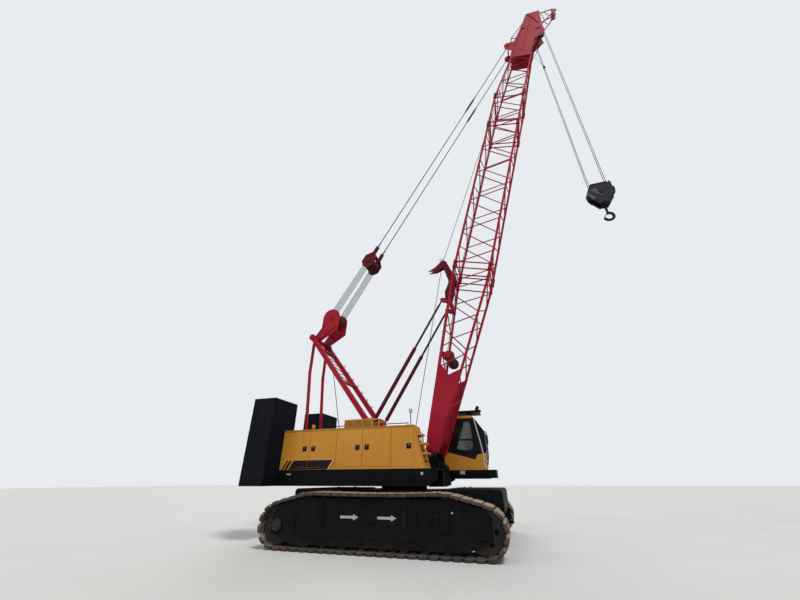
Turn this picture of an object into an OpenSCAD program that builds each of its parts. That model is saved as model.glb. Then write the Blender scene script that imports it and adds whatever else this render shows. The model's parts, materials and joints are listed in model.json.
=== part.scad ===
// Crawler crane with a lattice boom, parked with its hook hanging.
// +X is the crane's front, +Y its left, +Z up. The origin is on the slewing axis at the ground.

/* [Undercarriage] */
// Distance between the centre lines of the two tracks
track_gauge = 5310; // [5000:10:5600]
// Width of a track shoe
shoe_w = 900; // [800:10:960]
// Distance between the drive wheel's and the idler's centres
wheel_base = 5860; // [5600:10:6100]
// Outer radius of the track round its end wheels
track_r = 600; // [570:5:620]
// Height of the track's top run
track_top = 1440; // [1410:5:1450]
// Distance from the middle to each carrier roller
carrier_x = 2000; // [1900:10:2100]
// Sag of the top run between its carrier rollers
track_sag = 35; // [10:5:50]
// Number of shoes in one track
shoe_count = 54; // [50:1:56]
// Height of a shoe above the links
shoe_h = 60; // [50:1:70]
// Thickness of the links under the shoes
link_h = 40; // [35:1:45]
// Gap between neighbouring shoes
shoe_gap = 26; // [16:1:40]
// Height of the drive lugs inside the track
lug_h = 70; // [55:1:75]
// Width of the drive lugs
lug_w = 150; // [120:1:170]
// Radius of a bottom roller
roller_r = 190; // [175:1:200]
// Number of bottom rollers in a track
roller_count = 8; // [7:1:9]
// Distance between neighbouring bottom rollers
roller_pitch = 580; // [500:5:600]
// Radius of a carrier roller
carrier_r = 110; // [100:1:120]
// Distance between the inner faces of a track frame's side plates
frame_gap = 600; // [560:10:640]
// Thickness of a track frame's side plate
frame_plate = 40; // [30:1:50]
// Half length of the square centre body
carbody_half = 1150; // [1050:10:1250]
// Height of the centre body's underside
carbody_bottom = 520; // [450:10:560]
// Height of the centre body's top
carbody_top = 1200; // [1150:10:1250]
// Length of a centre body weight
body_weight_l = 1750; // [1400:10:1800]
// Width of a centre body weight
body_weight_w = 3100; // [2800:10:3200]

/* [Slewing] */
// Outer radius of the slewing ring's fixed race
ring_r = 950; // [900:5:1000]
// Inner radius of the fixed race
race_r = 800; // [760:5:830]
// Teeth on the slewing ring
ring_teeth = 72; // [60:1:90]
// Height of the fixed race
ring_h = 220; // [180:5:260]

/* [Upper frame] */
// Height of the upper frame's underside
deck_bottom = 1550; // [1530:5:1600]
// Height of the upper frame's top
deck_top = 2040; // [2000:5:2100]
// Half width of the upper frame
deck_half = 1607; // [1580:1:1640]
// Where the upper frame ends at the rear
deck_rear = -4130; // [-4180:5:-4100]
// Where the upper frame ends at the front
deck_front = 1550; // [1500:5:1650]
// Thickness of the upper frame's plates
deck_plate = 50; // [40:1:60]
// Distance of the main girders from the middle
girder_y = 640; // [600:5:660]

/* [Hoods] */
// Height of the hoods' roof
hood_top = 3337; // [3250:1:3400]
// Thickness of a hood's walls and doors
hood_wall = 40; // [30:1:50]
// Distance of a hood's inner wall from the middle
hood_inner = 860; // [855:1:880]
// Front of the right hood at its foot
hood_front_foot = 1180; // [1150:1:1230]
// Front of the right hood at its roof
hood_front_roof = 840; // [800:1:880]
// Front of the left hood
left_hood_front = 350; // [250:5:450]
// Height of a hood door
hood_door_h = 1160; // [1100:5:1180]
// Height of a door's foot above the deck
door_sill = 70; // [60:1:90]
// Gap between neighbouring doors
door_gap = 14; // [12:1:18]
// Radius of a door's pivot pins
door_pin_r = 8; // [6:0.5:9]
// Distance of a pivot pin from the door's edges
door_pin_in = 12; // [11:0.5:14]
// Side of a square door latch
latch_side = 150; // [120:5:170]

/* [Cab] */
// Distance of the cab's inner side from the middle
cab_inner = 860; // [850:5:900]
// Width of the cab
cab_w = 920; // [880:5:960]
// Rear of the cab
cab_rear = 1250; // [1230:5:1300]
// Length of the cab at its foot
cab_l = 1570; // [1500:5:1600]
// Height of the cab
cab_h = 1890; // [1850:5:1930]
// Thickness of the cab's walls and door
cab_wall = 45; // [40:1:55]
// Thickness of the cab's glass
glass_t = 10; // [8:1:14]

/* [Counterweight] */
// Rear of the counterweight
weight_rear = -5050; // [-5150:5:-4950]
// Half width of the counterweight
weight_half = 2420; // [2380:5:2460]
// Distance of each stack's inner side from the middle
weight_inner = 1000; // [980:5:1050]
// Thickness of the counterweight tray
tray_h = 250; // [220:5:280]
// Height of one block of the counterweight
block_h = 518; // [500:1:525]
// Blocks in each stack
block_count = 5; // [4:1:5]

/* [Gantry] */
// Foot pin of the gantry strut, ahead of the slewing axis
strut_foot_x = -180; // [-220:5:-140]
// Height of the strut's foot pin
strut_foot_z = 2300; // [2280:5:2340]
// Head of the strut, along the crane
strut_head_x = -4020; // [-4060:5:-3980]
// Height of the strut's head
strut_head_z = 7360; // [7300:5:7400]
// Distance of the strut's legs from the middle
strut_y = 740; // [730:1:745]
// Depth of the strut's legs
strut_d = 190; // [170:1:210]
// Width of the strut's legs
strut_w = 140; // [120:1:150]
// Distance of the backstays from the middle
stay_y = 560; // [540:5:580]
// Axle of the gantry sheaves, along the crane
gantry_x = -3380; // [-3420:5:-3340]
// Height of the gantry sheaves' axle
gantry_z = 8420; // [8380:5:8460]
// Radius of the luffing sheaves
luff_sheave_r = 260; // [230:5:280]
// Number of luffing sheaves at each end
luff_sheaves = 6; // [5:1:6]
// Distance between neighbouring luffing sheaves
luff_pitch = 104; // [96:1:110]
// Diameter of the luffing rope
luff_rope_d = 22; // [18:1:26]

/* [Boom] */
// Boom foot pin, ahead of the slewing axis
boom_foot_x = 1174; // [1150:1:1200]
// Height of the boom foot pin
boom_foot_z = 2461; // [2440:1:2490]
// Angle of the boom above the horizontal
boom_angle = 73.76; // [73:0.02:74.5]
// Distance between the chords across the boom
boom_w = 1400; // [1360:5:1410]
// Distance between the chords from back to front
boom_d = 1497; // [1450:1:1540]
// Length of the base section
base_l = 7606; // [7500:1:7700]
// Length of the long insert
insert_l = 8856; // [8800:1:8900]
// Length of the short insert
short_l = 2300; // [2250:1:2350]
// Length of the tip section up to the head plates
tip_l = 4140; // [4050:1:4200]
// Diameter of the chord tubes
chord_d = 102; // [95:1:110]
// Diameter of the lacing tubes
lace_d = 48; // [42:1:54]
// Thickness of the foot and head plates
boom_plate = 30; // [25:1:36]
// Length of the foot section's side plates
foot_plate_l = 3270; // [3150:5:3350]
// Radius of the boom foot pins
foot_pin_r = 60; // [50:1:70]
// Radius of the head sheaves
head_sheave_r = 350; // [330:1:370]
// Diameter of the hoist rope
hoist_rope_d = 24; // [20:1:28]
// Diameter of the boom pendants
pendant_d = 44; // [36:1:50]

/* [Hook] */
// Height of the hook block's axle
block_axle_z = 12750; // [12600:10:12900]
// Width of the hook block's cheeks
cheek_w = 1100; // [1000:10:1150]
// Height of the hook block's cheeks
cheek_h = 1060; // [980:10:1120]
// Distance between the hook block's cheeks
cheek_gap = 240; // [220:5:260]
// Thickness of a cheek
cheek_t = 70; // [60:1:80]
// Height of the hook's lowest point
hook_bottom = 11250; // [11150:10:11300]
// Radius of the hook's bowl
hook_bowl_r = 130; // [120:1:140]
// Thickness of the hook's shank and bowl
hook_t = 110; // [100:1:120]

/* [Backstops] */
// Foot pins of the backstops, along the crane
stop_foot_x = -1000; // [-1040:5:-960]
// Height of the backstops' foot pins
stop_foot_z = 3720; // [3680:5:3760]
// Distance of the backstops from the middle
stop_y = 540; // [520:5:550]
// Outer diameter of a backstop tube
stop_tube_d = 150; // [140:1:165]
// Diameter of a backstop rod
stop_rod_d = 90; // [80:1:100]
// Length of a backstop tube
stop_tube_l = 3150; // [3000:10:3250]

/* [Hidden] */
$fn = 36;
// Running clearance of a pin in its eye, and of a wheel on its track
run = 0.3;
// Clearance between pieces that move past each other
clear = 6;
red = "#a3202c";
ochre = "#cc9640";
black = "#1d1e22";
rust = "#5d4536";
grey = "#8b8d90";

// Track loop, as points [x, z] on the line of the links' pins, from the front of the ground run
track_y = track_gauge / 2;
wheel_x = wheel_base / 2;
pin_line_r = track_r - shoe_h;
pin_top = track_top - shoe_h;
slope_dir = atan2(pin_top - track_r, carrier_x - wheel_x);
slope_reach = norm([pin_top - track_r, carrier_x - wheel_x]);
arc_end = slope_dir - acos(pin_line_r / slope_reach);
arc_steps = 60;
sag_steps = 10;
function arc_point(a) = [wheel_x + pin_line_r * cos(a), track_r + pin_line_r * sin(a)];
front_arc = [for (i = [0 : arc_steps]) arc_point(-90 + i * (arc_end + 90) / arc_steps)];
top_run = [for (i = [0 : sag_steps]) let (k = 1 - 2 * i / sag_steps)
    [k * carrier_x, pin_top - track_sag * (1 - k * k)]];
rear_arc = [for (i = [arc_steps : -1 : 0]) [-front_arc[i].x, front_arc[i].y]];
loop = concat(front_arc, top_run, rear_arc, [front_arc[0]]);
steps = [for (i = [1 : len(loop) - 1]) norm(loop[i] - loop[i - 1])];
lengths = [for (i = 0, l = 0; i < len(loop); l = l + (i < len(steps) ? steps[i] : 0), i = i + 1) l];
loop_l = lengths[len(lengths) - 1];
loop_x = [for (i = [0 : len(loop) - 1]) [lengths[i], loop[i].x]];
loop_z = [for (i = [0 : len(loop) - 1]) [lengths[i], loop[i].y]];
shoe_pitch = loop_l / shoe_count;
pins = [for (i = [0 : shoe_count - 1]) [lookup(i * shoe_pitch, loop_x), lookup(i * shoe_pitch, loop_z)]];
function pin(i) = pins[(i + shoe_count) % shoe_count];
function shoe_len(i) = norm(pin(i + 1) - pin(i));
function along(i) = (pin(i + 1) - pin(i)) / shoe_len(i);
function outward(i) = [along(i).y, -along(i).x];
function unit(v) = v / norm(v);
// A point of shoe i, t along it from its first pin and h outward
function on_shoe(i, t, h) = pin(i) + t * along(i) + h * outward(i);
shoe_outline = [for (i = [0 : shoe_count - 1]) let (a = shoe_gap / 2, b = shoe_len(i) - a)
    each [on_shoe(i, a, 4), on_shoe(i, a, shoe_h), on_shoe(i, b - shoe_h / 4, shoe_h),
        on_shoe(i, b, shoe_h * 0.6), on_shoe(i, b, 4)]];
function belt(h) = [for (i = [0 : shoe_count - 1]) pin(i) + h * unit(outward(i - 1) + outward(i))];
lug_outline = [for (i = [0 : shoe_count - 1]) let (m = shoe_len(i) / 2, foot = lug_h / 2, tip = lug_h / 4)
    each [on_shoe(i, m - foot, -link_h), on_shoe(i, m - tip, -link_h - lug_h),
        on_shoe(i, m + tip, -link_h - lug_h), on_shoe(i, m + foot, -link_h)]];
// The wheels and rollers bear on the middle of each link
wheel_r = sqrt(pin_line_r * pin_line_r - shoe_pitch * shoe_pitch / 4) - link_h - run;
groove_r = wheel_r - lug_h - 20;
roller_z = shoe_h + link_h + run + roller_r;
function over(x) = [for (i = [0 : shoe_count - 1]) if (pin(i).x >= x && pin(i + 1).x < x && pin(i).y > 900) i][0];
function carrier_z(x) = let (i = over(x), v = along(i))
    pin(i).y + (x - pin(i).x) * v.y / v.x - (carrier_r + link_h + run) / abs(v.x);
frame_y = frame_gap / 2;
tread_gap = lug_w / 2 + 25;

module rod(p, q, d, facets = 0) {
    v = q - p;
    l = norm(v);
    translate(p) rotate([0, acos(v.z / l), atan2(v.y, v.x)]) rotate([0, 0, 45])
        cylinder(d = d, h = l, $fn = facets > 0 ? facets : $fn);
}

module cross_rod(x, z, y0, y1, r) translate([x, y0, z]) rotate([-90, 0, 0]) cylinder(r = r, h = y1 - y0);

// A plate in the XZ plane between y0 and y1
module side_plate(points, y0, y1) translate([0, y1, 0]) rotate([90, 0, 0]) linear_extrude(y1 - y0)
    polygon(points);

module both_sides() {
    children();
    mirror([0, 1, 0]) children();
}

module front_and_rear() {
    children();
    mirror([1, 0, 0]) children();
}

module ring_plate(outer, inner, w) translate([0, w / 2, 0]) rotate([90, 0, 0]) linear_extrude(w)
    difference() {
        polygon(outer);
        polygon(inner);
    }

module track_loop() {
    ring_plate(shoe_outline, belt(-link_h), shoe_w);
    ring_plate(belt(-link_h / 2), lug_outline, lug_w);
}

module right_track() color(rust) translate([0, -track_y, 0]) track_loop();

module left_track() color(rust) translate([0, track_y, 0]) track_loop();

// Two treads with a groove for the drive lugs, on a shaft between the side plates
module roller(x, z, r, core_r, shaft_r) {
    cross_rod(x, z, -frame_y, frame_y, shaft_r);
    cross_rod(x, z, -frame_y + 30, frame_y - 30, core_r);
    for (y = [-frame_y + 20, tread_gap])
        cross_rod(x, z, y, y + frame_y - 20 - tread_gap, r);
}

module track_rollers() color("#2b2622") both_sides() translate([0, -track_y, 0]) {
    for (i = [0 : roller_count - 1])
        roller((i - (roller_count - 1) / 2) * roller_pitch, roller_z, roller_r, roller_r - lug_h - 15, 40);
    for (x = [-carrier_x, carrier_x]) roller(x, carrier_z(x), carrier_r, 30, 28);
}

module idlers() color("#2b2622") both_sides() translate([0, -track_y, 0])
    difference() {
        roller(wheel_x, track_r, wheel_r, groove_r, 70);
        for (a = [0 : 60 : 300], y = [-frame_y, tread_gap + 60])
            cross_rod(wheel_x + wheel_r * 0.6 * cos(a), track_r + wheel_r * 0.6 * sin(a), y,
                y + frame_y - tread_gap - 60, wheel_r * 0.13);
    }

sprocket_teeth = 12;
tooth_w = 60;
drive_l = 260;
drive_r = 250;
rear_pin = [for (p = pins) if (p.x < -wheel_x && abs(p.y - track_r) < 170) p][0];
tooth_dir = atan2(rear_pin.y - track_r, rear_pin.x + wheel_x);

module sprockets() color("#2b2622") both_sides() translate([0, -track_y, 0]) {
    roller(-wheel_x, track_r, wheel_r, groove_r - 60, 120);
    translate([-wheel_x, 0, track_r])
        for (i = [0 : sprocket_teeth - 1]) rotate([0, i * 360 / sprocket_teeth - tooth_dir, 0])
            translate([groove_r - 90, -tread_gap - 5, -tooth_w / 2])
                cube([wheel_r - 10 - groove_r + 90, 2 * tread_gap + 10, tooth_w]);
    // Travel drive on the inner side of the frame
    cross_rod(-wheel_x, track_r, frame_y + frame_plate, frame_y + frame_plate + drive_l, drive_r);
    cross_rod(-wheel_x, track_r, frame_y + frame_plate + drive_l - 1, frame_y + frame_plate + drive_l + 150, 150);
}

// The side plates stand between the bottom run and the sagging top run
frame_foot = shoe_h + link_h + 60;
frame_shoulder = pin_top - link_h - track_sag - 35;
frame_end = wheel_x + 190;
frame_slope_x = wheel_x + 70;
frame_half = [[2450, frame_foot], [frame_end, 400], [frame_end, 800],
    [frame_slope_x, frame_shoulder - (frame_slope_x - carrier_x - 160) / tan(arc_end)],
    [carrier_x + 160, frame_shoulder]];
frame_points = concat(frame_half, [for (i = [len(frame_half) - 1 : -1 : 0]) [-frame_half[i].x, frame_half[i].y]]);
box_l = 4300;
box_foot = roller_z + roller_r + 20;
box_top = carrier_z(carrier_x) - carrier_r - 40;
frame_out = frame_y + frame_plate;

module track_frames() color(black) both_sides() translate([0, -track_y, 0]) {
    for (y = [-frame_out, frame_y]) side_plate(frame_points, y, y + frame_plate);
    translate([-box_l / 2, -frame_y - 1, box_foot]) cube([box_l, frame_gap + 2, box_top - box_foot]);
    // Bearing caps of the wheels and rollers
    for (x = [-wheel_x, wheel_x]) cross_rod(x, track_r, -frame_out - 35, -frame_out + 1, 180);
    for (i = [0 : roller_count - 1])
        cross_rod((i - (roller_count - 1) / 2) * roller_pitch, roller_z, -frame_out - 18, -frame_out + 1, 55);
    // Raised pads on the outer side
    for (x = [-1560, 1130, 1975]) translate([x - 110, -frame_out - 25, 560]) cube([220, 26, 470]);
    translate([-150, -frame_out - 30, 720]) cube([300, 31, 170]);
}

beam_x = 860;
beam_w = 480;
beam_foot = 560;
beam_top = 1060;
beam_end = track_y - frame_out;
weight_x = carbody_half + 500;
weight_foot = 600;
weight_top = 1480;
weight_end = weight_x + body_weight_l;
tow_x = weight_end + 80;
tow_half = 75;
tow_t = 70;
tow_r = 22;

module carbody() color(black) {
    translate([-carbody_half, -carbody_half, carbody_bottom])
        cube([2 * carbody_half, 2 * carbody_half, carbody_top - carbody_bottom]);
    both_sides() front_and_rear()
        translate([beam_x - beam_w / 2, -beam_end, beam_foot]) cube([beam_w, beam_end, beam_top - beam_foot]);
    // Brackets that carry the weights, with a towing eye at their ends
    front_and_rear() {
        translate([carbody_half - 10, -600, weight_foot]) cube([weight_x - carbody_half + 10, 1200, 540]);
        difference() {
            translate([carbody_half - 10, -tow_half, weight_foot - tow_t])
                cube([tow_x - carbody_half + 90, 2 * tow_half, tow_t]);
            translate([tow_x, 0, weight_foot - tow_t - 5]) cylinder(r = tow_r, h = tow_t + 10);
        }
    }
}

module carbody_weights() color(black) front_and_rear()
    side_plate([[weight_x, weight_foot], [weight_end - 380, weight_foot], [weight_end, 900],
        [weight_end, weight_top - 60], [weight_end - 60, weight_top], [weight_x + 60, weight_top],
        [weight_x, weight_top - 60]], -body_weight_w / 2, body_weight_w / 2);

ring_z = carbody_top;

module swing_ring() color(grey) difference() {
    union() {
        translate([0, 0, ring_z]) cylinder(r = ring_r, h = ring_h, $fn = 96);
        for (i = [0 : ring_teeth - 1]) rotate([0, 0, i * 360 / ring_teeth])
            translate([ring_r - 5, -22, ring_z + 40]) cube([45, 44, ring_h - 80]);
    }
    translate([0, 0, ring_z - 1]) cylinder(r = race_r, h = ring_h + 2, $fn = 96);
}

foot_boss_r = 130;
foot_boss_in = 610;
foot_boss_out = 755;
ear_t = 40;

// Ear with a round head, standing on the upper frame's top
module ear(x, z, r, y0, y1) {
    translate([x - r, y0, deck_top - 10]) cube([2 * r, y1 - y0, z - deck_top + 10]);
    cross_rod(x, z, y0, y1, r);
}

module deck() color(black) {
    // Inner race of the slewing ring
    difference() {
        translate([0, 0, ring_z + 50]) cylinder(r = race_r - run, h = deck_bottom - ring_z - 40, $fn = 96);
        translate([0, 0, ring_z]) cylinder(r = race_r - 120, h = deck_bottom - ring_z, $fn = 96);
    }
    // Belly plate, top plate and girders
    translate([deck_rear, -girder_y, deck_bottom]) cube([deck_front - deck_rear, 2 * girder_y, deck_plate]);
    translate([deck_rear, -deck_half, deck_top - deck_plate])
        cube([deck_front - deck_rear, 2 * deck_half, deck_plate]);
    both_sides() {
        translate([deck_rear, girder_y - 1, deck_bottom])
            cube([deck_front - deck_rear, 61, deck_top - deck_bottom]);
        side_plate([[deck_rear, deck_bottom], [deck_front - 350, deck_bottom], [deck_front, deck_bottom + 170],
            [deck_front, deck_top], [deck_rear, deck_top]], deck_half - deck_plate, deck_half);
        for (x = [deck_rear, -2600, -1100, 400])
            translate([x, girder_y, deck_bottom + 60]) cube([40, deck_half - girder_y - 1, 400]);
        ear(boom_foot_x, boom_foot_z, 150, foot_boss_in - clear - ear_t, foot_boss_in - clear);
        ear(boom_foot_x, boom_foot_z, 150, foot_boss_out + clear, foot_boss_out + clear + ear_t);
        cross_rod(boom_foot_x, boom_foot_z, foot_boss_in - clear - ear_t, foot_boss_out + clear + ear_t,
            foot_pin_r);
        ear(strut_foot_x, strut_foot_z, 120, strut_y - strut_w / 2 - ear_t, strut_y - strut_w / 2);
    }
    translate([deck_front - deck_plate, -girder_y, deck_bottom])
        cube([deck_plate, 2 * girder_y, deck_top - deck_bottom]);
}

// Doors as [rear edge, front edge, hinge side: -1 rear or 1 front]
door_low = deck_top + door_sill;
right_doors = [[-4100, -3020, -1], [-3020, -1962, 1], [-1962, -991, -1], [-991, 39, 1], [39, 821, -1]];
left_doors = [[-3020, -1962, -1], [-1962, -991, 1]];
hood_rear = deck_rear + 10;
hood_h = hood_top - deck_top;
function hood_front(z) = hood_front_foot - (hood_front_foot - hood_front_roof) * (z - deck_top) / hood_h;

module hood_profile(foot, roof, inset, y0, y1)
    side_plate([[hood_rear + inset, deck_top - inset], [foot - inset, deck_top - inset],
        [roof - inset, hood_top - inset], [hood_rear + inset, hood_top - inset]], y0, y1);

// A hollow hood open to the frame below, with its outer side at y = -deck_half
module hood_shell(foot, roof, doors) {
    last = len(doors) - 1;
    difference() {
        hood_profile(foot, roof, 0, -deck_half, -hood_inner);
        hood_profile(foot, roof, hood_wall, -deck_half + hood_wall, -hood_inner - hood_wall);
        translate([doors[0][0] + door_gap / 2 - clear, -deck_half - 1, door_low - clear])
            cube([doors[last][1] - doors[0][0] - door_gap + 2 * clear, hood_wall + 9, hood_door_h + 2 * clear]);
        for (d = doors) door_pivots(d, door_pin_r + run, 34);
    }
    // Posts behind the seams
    for (i = [1 : last]) translate([doors[i][0] - 30, -deck_half + hood_wall + 10, deck_top])
        cube([60, 45, hood_h - hood_wall / 2]);
}

function pivot_x(d) = d[2] < 0 ? d[0] + door_gap / 2 + door_pin_in : d[1] - door_gap / 2 - door_pin_in;

module door_pivots(d, r, reach)
    translate([pivot_x(d), -deck_half + door_pin_in, door_low - reach])
        cylinder(r = r, h = hood_door_h + 2 * reach);

// A door as thick as the hood's wall, with a square latch near its free edge
module hood_door(d) {
    latch_x = d[2] < 0 ? d[1] - 170 : d[0] + 170;
    translate([d[0] + door_gap / 2, -deck_half, door_low]) cube([d[1] - d[0] - door_gap, hood_wall, hood_door_h]);
    translate([latch_x - latch_side / 2, -deck_half - 10, door_low + 590 - latch_side / 2])
        cube([latch_side, 24, latch_side]);
    door_pivots(d, door_pin_r, 30);
}

module right_hood() color(ochre) hood_shell(hood_front_foot, hood_front_roof, right_doors);

module left_hood() color(ochre) mirror([0, 1, 0]) hood_shell(left_hood_front, left_hood_front, left_doors);

module hood_door_1() color(ochre) hood_door(right_doors[0]);

module hood_door_2() color(ochre) hood_door(right_doors[1]);

module hood_door_3() color(ochre) hood_door(right_doors[2]);

module hood_door_4() color(ochre) hood_door(right_doors[3]);

module hood_door_5() color(ochre) hood_door(right_doors[4]);

module left_door_1() color(ochre) mirror([0, 1, 0]) hood_door(left_doors[0]);

module left_door_2() color(ochre) mirror([0, 1, 0]) hood_door(left_doors[1]);

module engine() color(grey) {
    translate([-2950, -1400, deck_top]) cube([1500, 460, 760]);
    translate([-2850, -1360, deck_top + 759]) cube([1200, 380, 200]);
}

// Raised air box on the right hood, with an open frame ahead of it
air_box_x = -1780;
air_box_l = 1080;
air_box_h = 290;
air_box_y = -1480;
air_box_w = 560;
air_frame_l = 260;
air_frame_bar = 40;
beacon_x = -3000;
beacon_y = -1500;
// Steps on the sloping front, as [height, reach]
front_steps = [[3010, 160], [2730, 220], [2440, 185]];
step_t = 60;

module roof_fittings() color(ochre) {
    frame_x = air_box_x + air_box_l - 1;
    frame_end_x = frame_x + air_frame_l - air_frame_bar;
    rail_z = hood_top + air_box_h - air_frame_bar;
    translate([air_box_x, air_box_y, hood_top]) cube([air_box_l, air_box_w, air_box_h]);
    for (y = [air_box_y + 20, air_box_y + air_box_w - 20 - air_frame_bar]) {
        translate([frame_end_x, y, hood_top]) cube([air_frame_bar, air_frame_bar, air_box_h]);
        translate([frame_x, y, rail_z]) cube([air_frame_l, air_frame_bar, air_frame_bar]);
    }
    translate([frame_end_x, air_box_y + 20, rail_z])
        cube([air_frame_bar, air_box_w - 40, air_frame_bar]);
    // Beacon
    translate([beacon_x, beacon_y, hood_top]) cylinder(r = 45, h = 60);
    translate([beacon_x, beacon_y, hood_top + 59]) cylinder(r = 60, h = 110);
    for (s = front_steps) translate([run, 0, 0])
        side_plate([[hood_front(s[0]), s[0]], [hood_front(s[0]) + s[1], s[0]],
            [hood_front(s[0]) + s[1], s[0] + step_t], [hood_front(s[0] + step_t), s[0] + step_t]], -1560, -1140);
}

rail_y = 1560;
rail_h = 540;
rail_posts = [-3900, -2700, -1500, -300];
mast_x = 700;
mast_y = -1500;
mast_h = 420;
// Roof guard of the cab, standing on two bars
guard_bars = [350, 1070];
guard_h = 120;

module rails_and_guard() color(black) {
    for (x = rail_posts) rod([x, rail_y, hood_top], [x, rail_y, hood_top + rail_h], 36);
    rod([rail_posts[0] - 18, rail_y, hood_top + rail_h], [rail_posts[3] + 18, rail_y, hood_top + rail_h], 36);
    rod([rail_posts[0], rail_y, hood_top + 290], [rail_posts[3], rail_y, hood_top + 290], 30);
    // Mast with a lamp on the right hood's front end
    rod([mast_x, mast_y, hood_top], [mast_x, mast_y, hood_top + mast_h], 30);
    translate([mast_x - 50, mast_y - 40, hood_top + mast_h - 1]) cube([100, 80, 110]);
    for (x = guard_bars)
        translate([cab_rear + x, cab_inner + 60, cab_top]) cube([60, cab_w - 120, guard_h]);
    translate([cab_rear + 330, cab_inner + 20, cab_top + guard_h - 1]) cube([1180, cab_w - 40, 45]);
}

platform_end = 3150;
platform_foot = deck_top - 260;

module cab_platform() color(black) {
    translate([deck_front, cab_inner - 30, platform_foot])
        cube([platform_end - deck_front, cab_w + 60, deck_top - platform_foot]);
    translate([left_hood_front, deck_half, deck_top - 120])
        cube([deck_front - left_hood_front + 1, cab_inner + cab_w + 30 - deck_half, 120]);
}

cab_top = deck_top + cab_h;
cab_front = cab_rear + cab_l;
cab_outer = cab_inner + cab_w;
front_line = [[deck_top, cab_front], [deck_top + 700, cab_front + 80], [deck_top + 1310, cab_front + 60],
    [deck_top + 1800, cab_front - 270], [cab_top, cab_front - 380]];
function front_x(z) = lookup(z, front_line);
cab_side = concat([[cab_rear, deck_top]], [for (p = front_line) [p[1], p[0]]], [[cab_rear, cab_top]]);
cab_room = concat([[cab_rear + cab_wall, deck_top + cab_wall]],
    [for (p = front_line) [p[1] - cab_wall * 1.2, min(max(p[0], deck_top + cab_wall), cab_top - cab_wall)]],
    [[cab_rear + cab_wall, cab_top - cab_wall]]);
window_side = [[cab_rear + 150, deck_top + 850], [cab_front - 80, deck_top + 390],
    [cab_front - 20, deck_top + 700], [cab_front - 40, deck_top + 1270], [cab_front - 345, deck_top + 1730],
    [cab_rear + 150, deck_top + 1740]];
front_low = deck_top + 340;
front_high = deck_top + 1740;
front_side = 90;
cab_door_x0 = cab_rear + 130;
cab_door_x1 = cab_rear + 1040;
cab_door_low = deck_top + 90;
cab_door_high = deck_top + 1760;
cab_door_sill = 620;
quarter_x = cab_door_x1 + 110;
quarter_w = 230;
quarter_low = deck_top + 560;
quarter_h = 980;
rear_window_low = deck_top + 900;
rear_window_h = 780;

module cab_pivot(r, reach) translate([cab_door_x0 + door_pin_in, cab_outer - door_pin_in, cab_door_low - reach])
    cylinder(r = r, h = cab_door_high - cab_door_low + 2 * reach);

module cab_shell() color(ochre) {
    difference() {
        side_plate(cab_side, cab_inner, cab_outer);
        side_plate(cab_room, cab_inner + cab_wall, cab_outer - cab_wall);
        side_plate(window_side, cab_inner - 1, cab_inner + cab_wall + 1);
        translate([cab_rear + 950, cab_inner + front_side, front_low])
            cube([2000, cab_w - 2 * front_side, front_high - front_low]);
        translate([cab_rear - 1, cab_inner + 120, rear_window_low])
            cube([cab_wall + 2, cab_w - 240, rear_window_h]);
        translate([cab_door_x0 - clear, cab_outer - cab_wall - 1, cab_door_low - clear])
            cube([cab_door_x1 - cab_door_x0 + 2 * clear, cab_wall + 2, cab_door_high - cab_door_low + 2 * clear]);
        translate([quarter_x, cab_outer - cab_wall - 1, quarter_low]) cube([quarter_w, cab_wall + 2, quarter_h]);
        cab_pivot(door_pin_r + run, 34);
    }
}

module cab_door() color(ochre) {
    window_w = cab_door_x1 - cab_door_x0 - 160;
    window_h = cab_door_high - cab_door_low - cab_door_sill - 90;
    difference() {
        translate([cab_door_x0, cab_outer - cab_wall, cab_door_low])
            cube([cab_door_x1 - cab_door_x0, cab_wall, cab_door_high - cab_door_low]);
        translate([cab_door_x0 + 80, cab_outer - cab_wall / 2 + glass_t / 2, cab_door_low + cab_door_sill])
            cube([window_w, cab_wall, window_h]);
        translate([cab_door_x0 + 80, cab_outer - cab_wall * 1.5 - glass_t / 2, cab_door_low + cab_door_sill])
            cube([window_w, cab_wall, window_h]);
    }
    cab_pivot(door_pin_r, 30);
}

glass_in = cab_wall / 2 - glass_t / 2;
front_zs = [front_low, deck_top + 700, deck_top + 1310, front_high];

module cab_glass() color([0.2, 0.25, 0.28, 0.5]) {
    side_plate(window_side, cab_inner + glass_in, cab_inner + glass_in + glass_t);
    translate([cab_rear + glass_in, cab_inner + 120, rear_window_low])
        cube([glass_t, cab_w - 240, rear_window_h]);
    translate([quarter_x, cab_outer - glass_in - glass_t, quarter_low]) cube([quarter_w, glass_t, quarter_h]);
    side_plate(concat([for (z = front_zs) [front_x(z) - 12, z]],
        [for (i = [len(front_zs) - 1 : -1 : 0]) [front_x(front_zs[i]) - 12 - glass_t, front_zs[i]]]),
        cab_inner + front_side, cab_outer - front_side);
}

module cab_seat() color("#26272b") {
    seat_y = cab_inner + cab_w / 2;
    floor_z = deck_top + cab_wall;
    translate([cab_rear + 420, seat_y - 200, floor_z]) cube([360, 400, 300]);
    translate([cab_rear + 340, seat_y - 260, floor_z + 299]) cube([540, 520, 130]);
    translate([cab_rear + 240, seat_y - 250, floor_z + 300]) cube([130, 500, 780]);
    for (side = [-1, 1]) translate([cab_rear + 420, seat_y + side * 330 - 50, floor_z]) cube([420, 100, 560]);
}

// A winch drum between two side frames on the upper frame
module winch(x, z, r, half) {
    cross_rod(x, z, -half + 40, half - 40, r);
    for (y = [-half + 30, half - 60]) cross_rod(x, z, y, y + 30, r + 110);
    for (y = [-half - 9, half - 31]) translate([x - 180, y, deck_top]) cube([360, 40, z - deck_top + 60]);
}

// Winches as [x, height above the deck, drum radius, half length]
winch_table = [[460, 440, 190, 480], [-1050, 440, 210, 520], [-2250, 400, 180, 480]];

module winches() color("#7c2a2c") for (w = winch_table) winch(w[0], deck_top + w[1], w[2], w[3]);

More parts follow.
